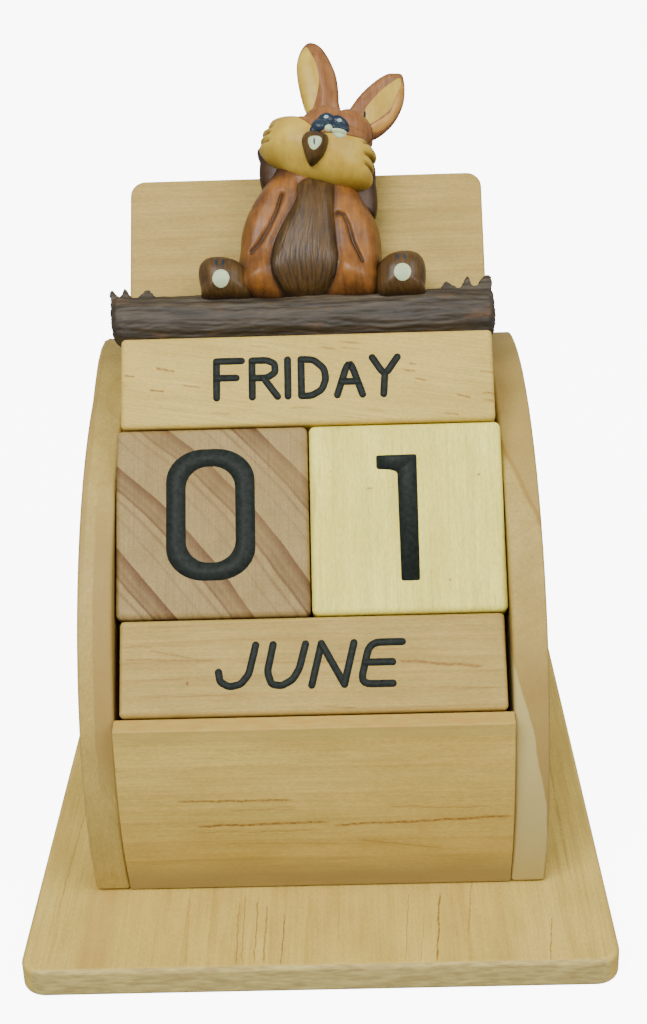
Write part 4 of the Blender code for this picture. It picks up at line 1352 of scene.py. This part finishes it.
def plate(shape, outline, level, hole=None):
    """A flat painted shape with this outline, and a hole that has as many points."""
    count = len(outline)
    loops = []
    for ring in (outline, hole or ()):
        heights = (level, level - PAINT_DEPTH)
        loops.append([[shape.verts.new((*point, height)) for point in ring] for height in heights])
    for top, foot in loops:
        for index in range(len(top)):
            after = (index + 1) % len(top)
            shape.faces.new((top[index], top[after], foot[after], foot[index]))
    if hole is None:
        shape.faces.new(loops[0][0])
        shape.faces.new(reversed(loops[0][1]))
        return
    for outer, inner in ((loops[0][0], loops[1][0]), (loops[0][1], loops[1][1])):
        for index in range(count):
            after = (index + 1) % count
            shape.faces.new((outer[index], outer[after], inner[after], inner[index]))


ONE_OUTLINE = (
    (-6.1, 13.2), (2.3, 13.3), (2.2, -13.3), (-1.6, -13.3), (-1.8, 9.6), (-3.2, 10.1), (-6.1, 10.3),
)


def numeral(name, digit, matrix, body, material, shift=(0, 0)):
    """A date number on a face of a cube."""
    shape = bmesh.new()
    level = PAINT_PROUD
    shift = Vector(shift)
    if digit == 0:
        outer = [(Vector(point) + shift) * MM for point in oval(9.2, 13.9, (7.9, 6.9))]
        inner = [(Vector(point) + shift) * MM for point in oval(5.15, 10.15, (4.7, 4.6))]
        plate(shape, outer, level, inner)
    elif digit == 1:
        corners = [Vector(point) for point in ONE_OUTLINE]
        outline = []
        for index, here in enumerate(corners):
            before, after = corners[index - 1], corners[(index + 1) % len(corners)]
            start = here + (before - here).normalized() * 0.5
            end = here + (after - here).normalized() * 0.5
            for step in range(5):
                share = step / 4
                outline.append(start * (1 - share) ** 2 + here * 2 * share * (1 - share) + end * share**2)
        plate(shape, [(point + shift) * MM for point in outline], level)
    else:
        for stroke in numeral_strokes(digit):
            points, widths = round_ended([Vector(point) + shift for point in stroke], NUMERAL_PEN / MM)
            ribbon(shape, [point * MM for point in points], [value * MM for value in widths], level)
            level += 0.0012 * MM
    new_object(name, mesh_of(name, shape), matrix, body, material)


FACE_TURNS = {
    "front": Matrix.Identity(4),
    "top": Matrix.Rotation(math.radians(-90), 4, "X"),
    "foot": Matrix.Rotation(math.radians(90), 4, "X"),
    "left": Matrix.Rotation(math.radians(-90), 4, "Y"),
    "right": Matrix.Rotation(math.radians(90), 4, "Y"),
    "back": Matrix.Rotation(math.radians(180), 4, "Y"),
}


def painted():
    """Numbers on every face of the cubes, and a word on the front of the weekday bar and of the month bar.
    """
    ink = paint()
    for node, body, digits, shift in (
        ("date_cube_tens", "tens", (0, 1, 2, 3, 4, 5), (-0.3, 1.6)),
        ("date_cube_units", "units", (1, 0, 2, 6, 7, 8), (0, 0)),
    ):
        low, high = lean_box(node, START)
        middle = (low + high) / 2
        half = (high - low) / 2
        for (face, turn), digit in zip(FACE_TURNS.items(), digits):
            reach = {"top": half.y, "foot": half.y, "left": half.x, "right": half.x}.get(face, half.z)
            matrix = LEANING @ Matrix.Translation(middle) @ turn @ Matrix.Translation((0, 0, reach))
            numeral(f"number_{body}_{face}", digit, matrix, body, ink, shift if face == "front" else (0, 0))
    for node, body, letters, slant in (
        ("weekday_bar", "weekday", "FRIDAY", 0.0),
        ("month_bar", "month", "JUNE", 0.25),
    ):
        low, high = lean_box(node, START)
        matrix = LEANING @ Matrix.Translation((0, low.y, high.z))
        if body == "weekday":
            word("word_weekday", letters, -19.0, 6.2, 5.3, 8.0, 1.5, 2.2, slant, matrix, body, ink)
        else:
            word("word_month", letters, -19.8, 5.9, 6.6, 8.4, 1.5, 3.2, slant, matrix, body, ink)


# Camera, floor and lights


def camera():
    """The photograph's camera: pitched down, turned a little left and rolled."""
    level_right = Vector((math.cos(CAMERA_YAW), math.sin(CAMERA_YAW), 0))
    level_ahead = Vector((-math.sin(CAMERA_YAW), math.cos(CAMERA_YAW), 0))
    ahead = level_ahead * math.cos(CAMERA_PITCH) - Vector((0, 0, math.sin(CAMERA_PITCH)))
    up = level_ahead * math.sin(CAMERA_PITCH) + Vector((0, 0, math.cos(CAMERA_PITCH)))
    right = level_right * math.cos(CAMERA_ROLL) + up * math.sin(CAMERA_ROLL)
    up = up * math.cos(CAMERA_ROLL) - level_right * math.sin(CAMERA_ROLL)
    data = bpy.data.cameras.new("photo_camera")
    data.sensor_fit = "VERTICAL"
    data.sensor_height = SENSOR_HEIGHT
    data.lens = FOCAL_PIXELS / PHOTO_HEIGHT * SENSOR_HEIGHT
    data.clip_start = 0.01
    item = bpy.data.objects.new("photo_camera", data)
    turn = Matrix((right, up, -ahead)).transposed().to_4x4()
    item.matrix_world = Matrix.Translation(CAMERA_PLACE) @ turn
    bpy.context.scene.collection.objects.link(item)
    bpy.context.scene.camera = item


def softbox(name, place, size, watts):
    data = bpy.data.lights.new(name, "AREA")
    data.size = size
    data.energy = watts
    item = bpy.data.objects.new(name, data)
    turn = Vector(place).to_track_quat("Z", "Y").to_matrix().to_4x4()
    item.matrix_world = Matrix.Translation(place) @ turn
    bpy.context.scene.collection.objects.link(item)


def studio():
    """A white sweep: a floor with a far round wall that only the camera sees."""
    shape = bmesh.new()
    rims = []
    for radius, height in ((0.001, 0), (3, 0), (3.6, 0.25), (4, 1), (4, 5)):
        turns = [math.tau * step / 48 for step in range(48)]
        rims.append([shape.verts.new((radius * math.cos(a), radius * math.sin(a), height)) for a in turns])
    shape.faces.new(rims[0])
    for inner, outer in zip(rims, rims[1:]):
        for index in range(48):
            after = (index + 1) % 48
            shape.faces.new((inner[index], inner[after], outer[after], outer[index]))
    mesh = bpy.data.meshes.new("floor")
    shape.to_mesh(mesh)
    shape.free()
    floor = bpy.data.objects.new("floor", mesh)
    finish = Finish("pale_floor", 0.9)
    speck = finish.noise(finish.place, 300, 3)
    colour = finish.ramp(speck, ((0.3, (0.88, 0.88, 0.88)), (0.7, (0.9, 0.9, 0.9))))
    finish.shader.inputs["Specular IOR Level"].default_value = 0
    finish.shader.inputs["Emission Color"].default_value = (1, 1, 1, 1)
    finish.shader.inputs["Emission Strength"].default_value = FLOOR_GLOW
    mesh.materials.append(finish.done(colour, speck, 0.02 * MM))
    floor.visible_diffuse = False
    floor.visible_glossy = False
    bpy.context.scene.collection.objects.link(floor)
    world = bpy.data.worlds.new("studio")
    world.use_nodes = True
    background = world.node_tree.nodes["Background"]
    background.inputs["Color"].default_value = (1, 1, 1, 1)
    background.inputs["Strength"].default_value = SKY_STRENGTH
    bpy.context.scene.world = world
    softbox(*KEY_LIGHT)
    softbox(*FILL_LIGHT)


def steel():
    """The CAD screws keep their shapes and get dull brushed steel."""
    finish = Finish("screw_steel", 0.35)
    brushed = finish.noise(finish.moved(finish.place, scale=(1, 1, 0.05)), 2400, 3)
    colour = finish.ramp(brushed, ((0.3, (0.38, 0.38, 0.39)), (0.7, (0.52, 0.52, 0.53))))
    finish.shader.inputs["Metallic"].default_value = 1
    material = finish.done(colour, brushed, 0.02 * MM, 0.2)
    for name, item in frame["nodes"].items():
        if "screw" in name:
            for holder in item.material_slots:
                holder.material = material


camera()
studio()
steel()
timber()
log()
rabbit()
painted()
